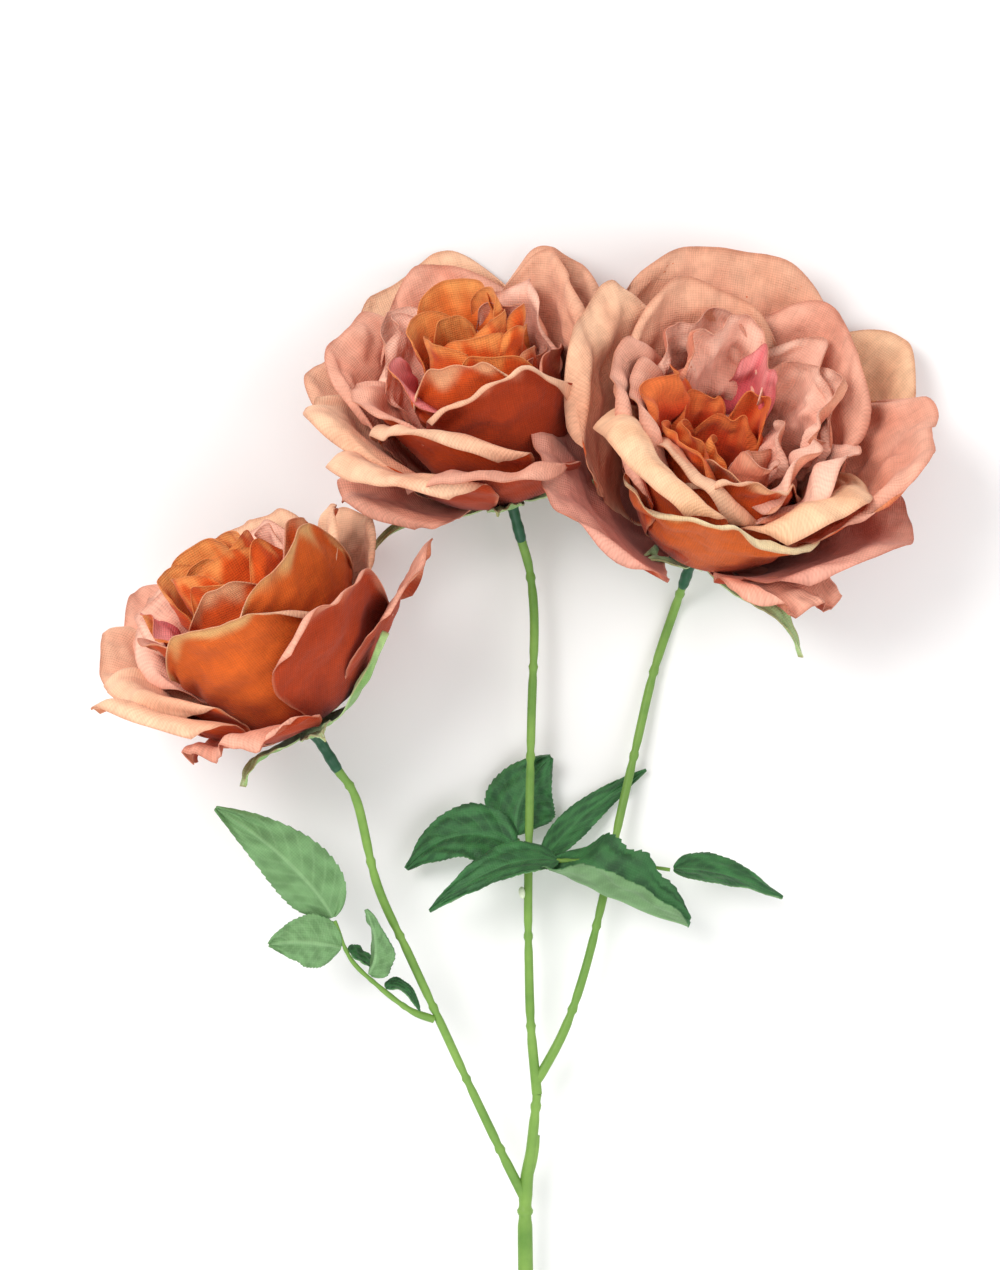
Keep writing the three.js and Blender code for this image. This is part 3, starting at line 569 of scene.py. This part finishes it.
petal_ring("left", left_place, "heart", 0.9, [
    round_petal(10, 57, 15, 86, 94),
    round_petal(70, 58, 15, 86, 94),
    round_petal(130, 59, 15, 86, 94),
    round_petal(190, 60, 16, 84, 90, wave=0.5, crease=0.8, flat=14),
    round_petal(250, 59, 16, 83, 88, wave=0.5, crease=0.8, flat=14),
    round_petal(310, 58, 15, 84, 88),
    round_petal(90, 53, 10, 90, 102),
    round_petal(210, 55, 10, 90, 102),
    round_petal(330, 53, 10, 90, 102),
], 2811, 33, 37)

# ---------------------------------------------------------------------------
# Calyxes. Five pointed green cloth sepals under each bloom, cut from one star
# and pressed round the base; some have dropped away from the petals.
# ---------------------------------------------------------------------------
CALYX_HUB, CALYX_START, CALYX_HEIGHT = 2.6, -3, -2.1
CALYX_RING_REACH = 6.4
SEPAL_HALF = 5.2
SEPAL_TIP = 0.12
SEPAL_THICK = 0.0004
SEPAL_OUT = (dye("6F9A55"), dye("7DA35C"), dye("A4C27E"))
SEPAL_IN = (dye("8FB26E"), dye("A3C184"), dye("B9D09A"))
sepal_cloth = woven_cloth("sepal_cloth", 0.8, 0.2, 0.1, 0.3)


def sepal_sheet(place, azimuth, length, wall, rim, seed):
    """One pointed, fringed sepal, in millimetres on the bloom's own axis, then set in its place."""
    across, along = 17, 61
    u = np.linspace(-1, 1, across)[None, :]
    v = np.linspace(0, 1, along)[:, None]
    full = length + CALYX_RING_REACH
    rising = mix(CALYX_START, wall, ease(0.1, 0.42, v))
    slope = np.radians(mix(rising, rim, ease(0.5, 1.08, v)))
    step = full / (along - 1)
    r = CALYX_HUB + np.concatenate([[[0.0]], np.cumsum(np.cos(slope) * step, 0)[:-1]])
    z = CALYX_HEIGHT + np.concatenate([[[0.0]], np.cumsum(np.sin(slope) * step, 0)[:-1]])
    fringe = 1 + 0.07 * np.abs(np.sin(v * 34 + seed)) * ease(0.3, 0.5, v)
    half = SEPAL_HALF * (1 - ease(0.32, 1.02, v)) ** 0.8 * mix(0.75, 1, ease(0, 0.3, v)) * fringe + SEPAL_TIP
    out = 0.5 * waves(u * 1.5, v * 5, seed) * ease(0.2, 0.6, v) - 0.9 * np.abs(u) * ease(0.2, 0.6, v)
    turn = math.radians(azimuth)
    side = u * half
    radius = r + np.sin(slope) * out
    x = radius * math.cos(turn) - side * math.sin(turn)
    y = radius * math.sin(turn) + side * math.cos(turn)
    grid = np.stack([x, y, z - np.cos(slope) * out + 0 * side], 2)
    flat = np.stack([side / 100, v * full / 100 + 0 * side], 2)
    uu, vv = u + 0 * v, v + 0 * u
    over = petal_dye_and_shade(SEPAL_OUT, uu, vv, seed, 0.4, 0.6)
    under = petal_dye_and_shade(SEPAL_IN, uu, vv, seed + 3, 0.4, 0.6)
    sheet = cloth_sheet(place(grid), SEPAL_THICK, flat, over, under)
    sheet["points"] = press_on_table(sheet["points"])
    return sheet


def calyx(bloom, place, size, rows):
    """rows: for each sepal its place round the bloom, its length and the slopes of its wall and its tip."""
    sheets = []
    for i, (azimuth, length, wall, rim) in enumerate(rows):
        sheets.append(sepal_sheet(place, azimuth, length * size, wall, rim, 5 * i + 1))
    cloth_piece(f"{bloom}_calyx_cloth", sheets, sepal_cloth, "sepal", f"{bloom}_calyx")


calyx("right", right_place, 1.0, [
    (58, 38, 4, -60), (118, 24, 12, -10), (185, 24, 24, 20), (255, 24, 24, 10), (325, 18, 26, 0),
])
calyx("centre", centre_place, 0.9, [
    (350, 24, 24, 10), (60, 22, 10, 0), (130, 24, 24, 20), (200, 24, 24, 20), (278, 38, 6, -40),
])
calyx("left", left_place, 0.9, [
    (298, 22, 8, -50), (5, 26, 8, -10), (55, 40, 30, 40), (140, 24, 20, 10), (215, 24, 16, 0),
])

# ---------------------------------------------------------------------------
# Stems. Extruded green plastic over a wire, with small knots every few
# centimetres; the branches leave the main stem at two forks.
# ---------------------------------------------------------------------------
STEM_WIDE, BRANCH_WIDE = 2.2, 1.3  # radii, in millimetres
TAIL, FORKS_APART, FORK_UP, CLIMB = 145, 31, 16, 0.06
TABLE_GAP = 0.01
NECK_LONG = 14
CALYX_DEPTH = 2.45
JOINT_GAP = 0.3
NEAR_BLOOM = 0.8
# the shoot is laid out on a millimetre grid of its own, where the right bloom stands here
BLOOM_X, BLOOM_Y = 49, 208
SHOOT = np.array([right_origin[0] * 1000 - BLOOM_X, right_origin[1] * 1000 - BLOOM_Y, 0.0])
MAIN_RADII = [2.25] + [2.2] * 8 + [2.15, 1.55, 1.45]
STUB_RADII = [1.0, 1.3, 1.45]
BRANCH_RADII = [1.5, 1.25, 1.25, 1.3, 1.35]


def moulded_plastic(name, colour, pale, roughness):
    """Soft plastic, mottled from one colour to a paler one, with a fine uneven skin."""
    material, tree, shader = new_material(name, Specular_IOR_Level=0.4)
    place = node(tree, "ShaderNodeTexCoord", (-1200, 0)).outputs["Object"]
    broad = node(tree, "ShaderNodeTexNoise", (-1000, 150), place, Scale=70.0, Detail=4.0, Roughness=0.6)
    fine = node(tree, "ShaderNodeTexNoise", (-1000, -150), place, Scale=600.0, Detail=3.0, Roughness=0.6)
    ramp = node(tree, "ShaderNodeValToRGB", (-750, 150), broad)
    for stop, position, shade in zip(ramp.color_ramp.elements, (0.32, 0.72), (colour, pale)):
        stop.position = position
        stop.color = (*shade, 1)
    rough = node(tree, "ShaderNodeMapRange", (-750, -150), fine)
    rough.inputs["To Min"].default_value = roughness - 0.1
    rough.inputs["To Max"].default_value = roughness + 0.12
    bump = node(tree, "ShaderNodeBump", (-500, -250), Height=fine, Strength=0.3, Distance=0.0003)
    tree.links.new(ramp.outputs["Color"], shader.inputs["Base Color"])
    tree.links.new(rough.outputs["Result"], shader.inputs["Roughness"])
    tree.links.new(bump.outputs["Normal"], shader.inputs["Normal"])
    return material


stem_plastic = moulded_plastic("stem_plastic", dye("5C8634"), dye("7FA44A"), 0.5)
neck_plastic = moulded_plastic("neck_plastic", dye("12452C"), dye("1F5E3C"), 0.42)
core_plastic = moulded_plastic("core_plastic", dye("C9CBB4"), dye("DADCC8"), 0.5)
glue = moulded_plastic("glue", dye("C9D3B4"), dye("DDE4CC"), 0.25)


def smooth_path(points, spacing=1.0):
    """A smooth line through the points, with a point for every millimetre or so."""
    p = [np.array(q, float) for q in points]
    p = [2 * p[0] - p[1], *p, 2 * p[-1] - p[-2]]
    line = []
    for a, b, c, d in zip(p, p[1:], p[2:], p[3:]):
        count = max(2, int(np.linalg.norm(c - b) / spacing))
        for t in np.arange(count) / count:
            one, two, three = 2 * b, c - a, 2 * a - 5 * b + 4 * c - d
            line.append((one + two * t + three * t**2 + (3 * b - 3 * c + d - a) * t**3) / 2)
    line.append(p[-2])
    return np.array(line)


KNOT_HALF, KNOT_END = 0.0003, 0.0013
PINCH_FROM, PINCH_TO, PINCHED = 0.0015, 0.0048, 0.84


def stem_tree():
    """Geometry Nodes: a round skin along a line, swollen at knots that come at a steady gap."""
    tree = bpy.data.node_groups.new("moulded_stem", "GeometryNodeTree")
    face = tree.interface
    face.new_socket("Geometry", in_out="INPUT", socket_type="NodeSocketGeometry")
    face.new_socket("Sides", in_out="INPUT", socket_type="NodeSocketInt")
    for size in ("Knot gap", "Knot start", "Knot swell"):
        face.new_socket(size, in_out="INPUT", socket_type="NodeSocketFloat")
    face.new_socket("Finish", in_out="INPUT", socket_type="NodeSocketMaterial")
    face.new_socket("Geometry", in_out="OUTPUT", socket_type="NodeSocketGeometry")
    given = node(tree, "NodeGroupInput", (-1200, 0)).outputs
    line = node(tree, "GeometryNodeMeshToCurve", (-900, 100), Mesh=given["Geometry"])
    # how far each point is from the nearest knot
    run = node(tree, "GeometryNodeSplineParameter", (-1200, -350)).outputs["Length"]
    shifted = node(tree, "ShaderNodeMath", (-1000, -350), run, given["Knot start"], operation="SUBTRACT")
    turns = node(tree, "ShaderNodeMath", (-850, -350), shifted, given["Knot gap"], operation="DIVIDE")
    off = node(tree, "ShaderNodeMath", (-700, -350), turns, 0.5, operation="PINGPONG")
    away = node(tree, "ShaderNodeMath", (-550, -350), off, given["Knot gap"], operation="MULTIPLY")
    # the stem swells at a knot and is pinched beside it
    swell = node(tree, "ShaderNodeMapRange", (-400, -350), away, interpolation_type="SMOOTHSTEP",
                 From_Min=KNOT_HALF, From_Max=KNOT_END, To_Min=given["Knot swell"], To_Max=0.0)
    pinch = node(tree, "ShaderNodeMapRange", (-400, -650), away, interpolation_type="SMOOTHSTEP",
                 From_Min=PINCH_FROM, From_Max=PINCH_TO, To_Min=PINCHED)
    bulge = node(tree, "ShaderNodeMath", (-150, -450), swell, pinch, operation="ADD")
    thick = node(tree, "GeometryNodeInputNamedAttribute", (-400, -900), data_type="FLOAT", Name="thick")
    radius = node(tree, "ShaderNodeMath", (0, -450), bulge, thick, operation="MULTIPLY")
    sides = given["Sides"]
    section = node(tree, "GeometryNodeCurvePrimitiveCircle", (-150, -150), Resolution=sides, Radius=1.0)
    skin = node(tree, "GeometryNodeCurveToMesh", (150, 100), Curve=line, Profile_Curve=section, Scale=radius,
                Fill_Caps=True)
    smooth = node(tree, "GeometryNodeSetShadeSmooth", (350, 100), Geometry=skin)
    real = node(tree, "GeometryNodeRealizeInstances", (550, 100), Geometry=smooth)
    finished = node(tree, "GeometryNodeSetMaterial", (720, 100), Geometry=real, Material=given["Finish"])
    node(tree, "NodeGroupOutput", (900, 0), Geometry=finished)
    return tree


moulded_stem = stem_tree()


def stem_piece(name, lines, finish, slot, node_name, sides=20, gap=0.027, start=0.01, swell=0.26):
    """lines: for each run of the stem its points and its radii along it, in millimetres."""
    points, edges, thick = [], [], []
    for line, radii in lines:
        first = len(points)
        points.extend((line / 1000).tolist())
        spread = np.interp(np.linspace(0, 1, len(line)), np.linspace(0, 1, len(radii)), radii)
        thick.extend((spread / 1000).tolist())
        edges.extend((first + i, first + i + 1) for i in range(len(line) - 1))
    mesh = bpy.data.meshes.new(name + "_line")
    mesh.from_pydata(points, edges, [])
    attribute = mesh.attributes.new("thick", "FLOAT", "POINT")
    attribute.data.foreach_set("value", thick)
    source = bpy.data.objects.new(name + "_line", mesh)
    bpy.context.collection.objects.link(source)
    modifier = source.modifiers.new("moulded_stem", "NODES")
    modifier.node_group = moulded_stem
    values = {"Sides": sides, "Knot gap": gap, "Knot start": start, "Knot swell": swell, "Finish": finish}
    for item in moulded_stem.interface.items_tree:
        if item.name in values:
            modifier[item.identifier] = values[item.name]
    shown = source.evaluated_get(bpy.context.evaluated_depsgraph_get())
    made = bpy.data.meshes.new_from_object(shown)
    made.name = name
    bpy.data.objects.remove(source)
    made.set_sharp_from_angle(angle=math.radians(50))
    place_piece(name, made, slot, node_name)


def up_the_stem(x, distance):
    """A point on the main stem, which lies on the table at its cut end and climbs a little."""
    return np.array([x, FORK_UP - TAIL + distance, STEM_WIDE + TABLE_GAP + distance * CLIMB]) + SHOOT


cut_end = up_the_stem(-1, 0)
lower_fork = up_the_stem(-1.2, TAIL)
upper_fork = up_the_stem(2.2, TAIL + FORKS_APART)
main_line = smooth_path([
    cut_end,
    up_the_stem(-1.4, TAIL * 0.4),
    up_the_stem(-1, TAIL * 0.75),
    lower_fork,
    up_the_stem(0.6, TAIL + FORKS_APART * 0.5),
    upper_fork,
])


def along_path(line, share):
    """The point at a share of the line's length."""
    lengths = np.concatenate([[0], np.cumsum(np.linalg.norm(np.diff(line, axis=0), axis=1))])
    return np.array([np.interp(share * lengths[-1], lengths, line[:, k]) for k in range(3)])


stub_root = along_path(main_line, 0.84)
stub_line = smooth_path([stub_root + np.array(step) for step in ((0, 0, 0), (2.0, 8.5, 0.2), (2.9, 16, 0.5))])
stem_piece(
    "main_stem_moulded",
    [(main_line, MAIN_RADII), (stub_line, STUB_RADII)],
    stem_plastic,
    "stem",
    "main_stem",
    gap=0.031,
    start=0.018,
)


def branch_line(fork, plan, axis, origin):
    """Follows the plan from its fork, climbing steadily, and enters the neck along the bloom's axis."""
    neck_end = origin * 1000 - axis * (CALYX_DEPTH + JOINT_GAP + NECK_LONG + JOINT_GAP)
    near = neck_end - axis * NECK_LONG * NEAR_BLOOM
    near[2] = max(near[2], BRANCH_WIDE + JOINT_GAP)
    run = near[1] - fork[1]
    middle = []
    for x, y in plan:
        spot = np.array([x, y, 0]) + SHOOT
        spot[2] = mix(fork[2], near[2], (spot[1] - fork[1]) / run)
        middle.append(spot)
    return smooth_path([fork, *middle, near, neck_end])


centre_line = branch_line(
    upper_fork,
    [(0.4, 67), (-0.2, 86), (-0.4, 104), (0, 130), (0.6, 158), (1.4, 184)],
    centre_axis,
    centre_origin,
)
right_line = branch_line(
    along_path(centre_line, 0.02),
    [(9.9, 65), (15.8, 81.5), (21.3, 103), (26.4, 127), (31.5, 149), (36.5, 170)],
    right_axis,
    right_origin,
)
left_line = branch_line(
    lower_fork,
    [(-8.1, 30), (-17.9, 51), (-25.6, 68), (-34.9, 88.5), (-44, 109)],
    left_axis,
    left_origin,
)
for branch, line, gap, start in (
    ("centre_branch", centre_line, 0.0262, 0.02),
    ("right_branch", right_line, 0.0255, 0.024),
    ("left_branch", left_line, 0.0235, 0.017),
):
    run = [(line, BRANCH_RADII)]
    stem_piece(f"{branch}_moulded", run, stem_plastic, "stem", branch, gap=gap, start=start)

# ---------------------------------------------------------------------------
# Necks. A dark green plastic sleeve joins each branch to its bloom, a little
# wider at the bloom, with a soft ring where the mould halves met.
# ---------------------------------------------------------------------------
NECK_TOP = 2.2
NECK_OVER_BRANCH = 1.2
NECK_RADII = [1.45, 1.9, 1.85, 1.75, 1.75, 1.8, 1.9, 2.1, 2.7, 3.6]
for bloom_name, axis, origin in (
    ("right", right_axis, right_origin),
    ("centre", centre_axis, centre_origin),
    ("left", left_axis, left_origin),
):
    top = origin * 1000 - axis * NECK_TOP
    bottom = origin * 1000 - axis * (CALYX_DEPTH + JOINT_GAP + NECK_LONG + NECK_OVER_BRANCH)
    stem_piece(
        f"{bloom_name}_neck_sleeve",
        [(np.linspace(bottom, top, 40), NECK_RADII)],
        neck_plastic,
        "neck",
        f"{bloom_name}_neck",
        sides=24,
        gap=0.0078,
        start=0.0008,
        swell=0.06,
    )

# ---------------------------------------------------------------------------
# Glue. Small beads of hot glue left at the right bloom's neck and on the
# middle branch.
# ---------------------------------------------------------------------------


def glue_bead(name, centre, size, stretch, seed):
    """A lumpy bead, with its size and place in millimetres."""
    bead = bpy.data.meshes.new(name)
    rows, columns = 14, 22
    points, faces = [], []
    lumps = np.random.default_rng(seed).normal(size=(4, 3))
    for i in range(rows + 1):
        a = math.pi * i / rows
        for j in range(columns if 0 < i < rows else 1):
            b = 2 * math.pi * j / columns
            way = np.array([math.sin(a) * math.cos(b), math.sin(a) * math.sin(b), math.cos(a)])
            swell = 1 + 0.09 * sum(math.sin(2.2 * float(way @ lump) + 1) for lump in lumps) / 2
            points.append(tuple((np.array(centre) + way * np.array(stretch) * size * swell) / 1000))

    def corner(i, j):
        if i == 0 or i == rows:
            return 0 if i == 0 else len(points) - 1
        return 1 + (i - 1) * columns + j % columns

    for i in range(rows):
        for j in range(columns):
            around = [corner(i, j), corner(i + 1, j), corner(i + 1, j + 1), corner(i, j + 1)]
            faces.append(list(dict.fromkeys(around)))
    bead.from_pydata(points, [], faces)
    bead.polygons.foreach_set("use_smooth", [True] * len(bead.polygons))
    bead.materials.append(glue)
    place_piece(name, bead, "peg")


beside_neck = right_origin * 1000 - right_axis * 8 + np.array([2.6, -0.6, 1.6])
glue_bead("right_glue_bead", beside_neck, 1.9, (1.2, 1.0, 0.9), 3)
beside_branch = along_path(centre_line, 0.36) + np.array([-1.8, 0, 0.4])
glue_bead("centre_glue_bead", beside_branch, 1.1, (0.9, 1.7, 0.9), 5)

# ---------------------------------------------------------------------------
# Pegs. The pale core that the petal rings are pushed onto, hidden by them.
# ---------------------------------------------------------------------------
for bloom_name in ("right", "centre", "left"):
    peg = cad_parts[bloom_name + "_peg"]
    peg.data.materials.clear()
    peg.data.materials.append(core_plastic)

# ---------------------------------------------------------------------------
# Leaves. Coated cloth leaflets with toothed edges, a pressed midrib and side
# veins: dark green above, pale below. They sit on thin moulded stalks.
# ---------------------------------------------------------------------------
RACHIS_WIDE, RACHIS_ROOT = 0.8, 1.2
STALK_IN_BRANCH = 0.8
STALK_RADII = [1.3, 0.9, 0.75, 0.65, 0.55]
BACK_STALK_RADII = [1.2, 1.0, 0.8]
LEAFLET_STEM = 1.2
LEAF_THICK = 0.0004
TEETH = 17
SIDE_VEINS = 7.5
LEAF_TOP = (dye("1F5028"), dye("34703A"), dye("46824A"))
LEAF_UNDER = (dye("587F4C"), dye("6A945E"), dye("7DA470"))
leaf_fabric = woven_cloth("leaf_cloth", 0.62, 0.05, 0.08, 0.2, shine=0.45)


def leaflet_sheet(base, bend, tip, face, width, fold=12, seed=0, fold_end=None, blunt=0.85):
    """A leaflet whose midrib bends from base to tip. face is the way its top looks, width is half its
    width, fold and fold_end are how far its halves lift, in degrees, and a low blunt widens its tip."""
    across, along = 33, 113
    u = np.linspace(-1, 1, across)[None, :, None]
    v = np.linspace(0, 1, along)[:, None, None]
    base, bend, tip, face = (np.array(p, float) for p in (base, bend, tip, face))
    midrib = (1 - v) ** 2 * base + 2 * v * (1 - v) * bend + v**2 * tip
    forwards = 2 * (1 - v) * (bend - base) + 2 * v * (tip - bend)
    forwards /= np.linalg.norm(forwards, axis=2, keepdims=True)
    sideways = np.cross(forwards, np.broadcast_to(face, forwards.shape))
    sideways /= np.linalg.norm(sideways, axis=2, keepdims=True)
    up = np.cross(sideways, forwards)
    tooth = (v * TEETH) % 1.0
    half = width * np.sin(math.pi * mix(0.004, 0.985, v) ** 0.68) ** mix(0.85, blunt, ease(0.2, 0.6, v))
    half = half * (1 + 0.055 * tooth * ease(0.06, 0.2, v))
    lean = np.radians(mix(fold, fold if fold_end is None else fold_end, ease(0.05, 0.45, v)))
    uu, vv = (u + 0 * v)[..., 0], (v + 0 * u)[..., 0]
    rough = waves(uu * 2.2, vv * 5, seed)[..., None]
    vein = np.abs(((vv * 1.25 - 0.3 * np.abs(uu) + 0.06) * SIDE_VEINS) % 1.0 - 0.5) * 2
    groove = ease(0.72, 1.0, vein) * ease(0.02, 0.12, np.abs(uu)) * ease(1.0, 0.8, np.abs(uu))
    rib = np.exp(-((uu * width / 0.55) ** 2))
    shape_up = np.abs(u) * half * np.sin(lean) + 0.05 * width * rough * (0.25 + np.abs(u))
    shape_up = shape_up - (0.16 * groove + 0.35 * rib)[..., None] - 0.1 * width * u**2 * ease(0.5, 1.0, v)
    grid = midrib + sideways * u * half * np.cos(lean) + up * shape_up
    flat = np.stack([(uu * half[..., 0]) / 100, vv * np.linalg.norm(tip - base) / 100], 2)
    shade = ease(-1.2, 1.2, waves(uu * 3, vv * 6, seed + 9))[..., None]
    over = mix(LEAF_TOP[0], LEAF_TOP[1], shade)
    over = mix(over, LEAF_TOP[2], np.maximum(0.75 * rib, 0.4 * groove)[..., None])
    under = mix(LEAF_UNDER[0], LEAF_UNDER[1], shade)
    under = mix(under, LEAF_UNDER[2], np.maximum(rib, 0.4 * groove)[..., None])
    return cloth_sheet(grid / 1000, LEAF_THICK, flat, over, under)


def stalk_line(root, steps):
    return smooth_path([root, *[root + np.array(s, float) for s in steps]], 0.5)


def off_branch(line, share, way):
    """Where a stalk leaves a branch, sunk a little into it."""
    way = np.array(way, float)
    out = BRANCH_WIDE + RACHIS_WIDE * RACHIS_ROOT - STALK_IN_BRANCH
    return along_path(line, share) + way / np.linalg.norm(way) * out


def grow(name, stalk, share, bend, tip, face, width, fold=12, seed=0, slot="leaf", **more):
    """A leaflet that leaves its stalk by a short stem of its own."""
    start = along_path(stalk, share)
    bend, tip = np.array(bend, float), np.array(tip, float)
    base = start + bend / np.linalg.norm(bend) * LEAFLET_STEM
    sheet = leaflet_sheet(base, start + bend, start + tip, face, width, fold, seed, **more)
    cloth_piece(name + "_cloth", [sheet], leaf_fabric, slot, name)


def stalk_piece(name, line, radii, swell):
    runs = [(line, radii)]
    stem_piece(f"{name}_moulded", runs, stem_plastic, "stem", name, gap=0.012, sides=14, swell=swell)


left_root = off_branch(left_line, 0.43, (-1, -0.3, 0.4))
left_stalk = stalk_line(left_root, [(-7, 3, 2), (-16, 10, 4), (-24, 18, 5), (-28.5, 29, 6)])
stalk_piece("left_leaf_stalk", left_stalk, STALK_RADII, 0.15)
downwards = (0.25, 0.2, -1)
grow("left_leaflet_end", left_stalk, 1.0, (-9, 17, 3), (-34, 33, 4), downwards, 10, seed=21, slot="pale_leaf")
grow("left_leaflet_upper_outer", left_stalk, 0.8, (-12, 3, 3), (-22, 1, -3), downwards, 8, seed=22,
     slot="pale_leaf")
grow("left_leaflet_upper_inner", left_stalk, 0.8, (5, -3, -4), (11, -8, -7), (0.6, 0.6, 0.3), 3.8, seed=23)
grow("left_leaflet_lower_outer", left_stalk, 0.55, (5, 8, 5), (0, 20, 7), (0.9, 0.1, -0.6), 6.4, 20, seed=24,
     slot="pale_leaf")
grow("left_leaflet_lower_inner", left_stalk, 0.42, (6, 3, -1), (11, -6, 1), (0.5, 0.8, 0.35), 3.6, seed=25)

LEAF_SHARE = 0.41
right_root = off_branch(centre_line, LEAF_SHARE, (1, 0, 0.6))
right_stalk = stalk_line(right_root, [(8, 1, 1), (26, 0.5, 1), (40, -1.5, 0)])
stalk_piece("right_leaf_stalk", right_stalk, STALK_RADII, 0.15)
grow("right_leaflet_end", right_stalk, 1.0, (14, 1.5, 2), (33, -8, -1), (0.1, 0.75, 0.6), 6.5, seed=31)
grow("right_leaflet_front", right_stalk, 0.1, (15, -9, 10), (41, -18, 9), (0.08, 0.9, 0.42), 16.5, 24,
     seed=32, fold_end=54, blunt=0.42)
grow("right_leaflet_back", right_stalk, 0.06, (10, 14, -13), (31, 27, -11), (-0.1, 0.1, 1), 4.4, 2, seed=33)
grow("right_leaflet_crossing", right_stalk, 0.2, (-16, 4, 11), (-38, -14, 6), (-0.1, 0.72, 0.7), 7, seed=34)

back_root = off_branch(centre_line, LEAF_SHARE, (-1, 0.2, -0.5))
back_stalk = stalk_line(back_root, [(-1.5, 3, -1.5), (-2, 7, -3)])
stalk_piece("back_leaf_stalk", back_stalk, BACK_STALK_RADII, 0.1)
grow("back_leaflet_upper", back_stalk, 1.0, (-2, 13, -1), (10, 24, 0), (-0.2, -0.2, 0.9), 11, -20, seed=41)
grow("back_leaflet_outer", back_stalk, 0.5, (-17, 12, 2), (-33, -5, -3), (-0.1, 0.5, 0.85), 9, seed=42)
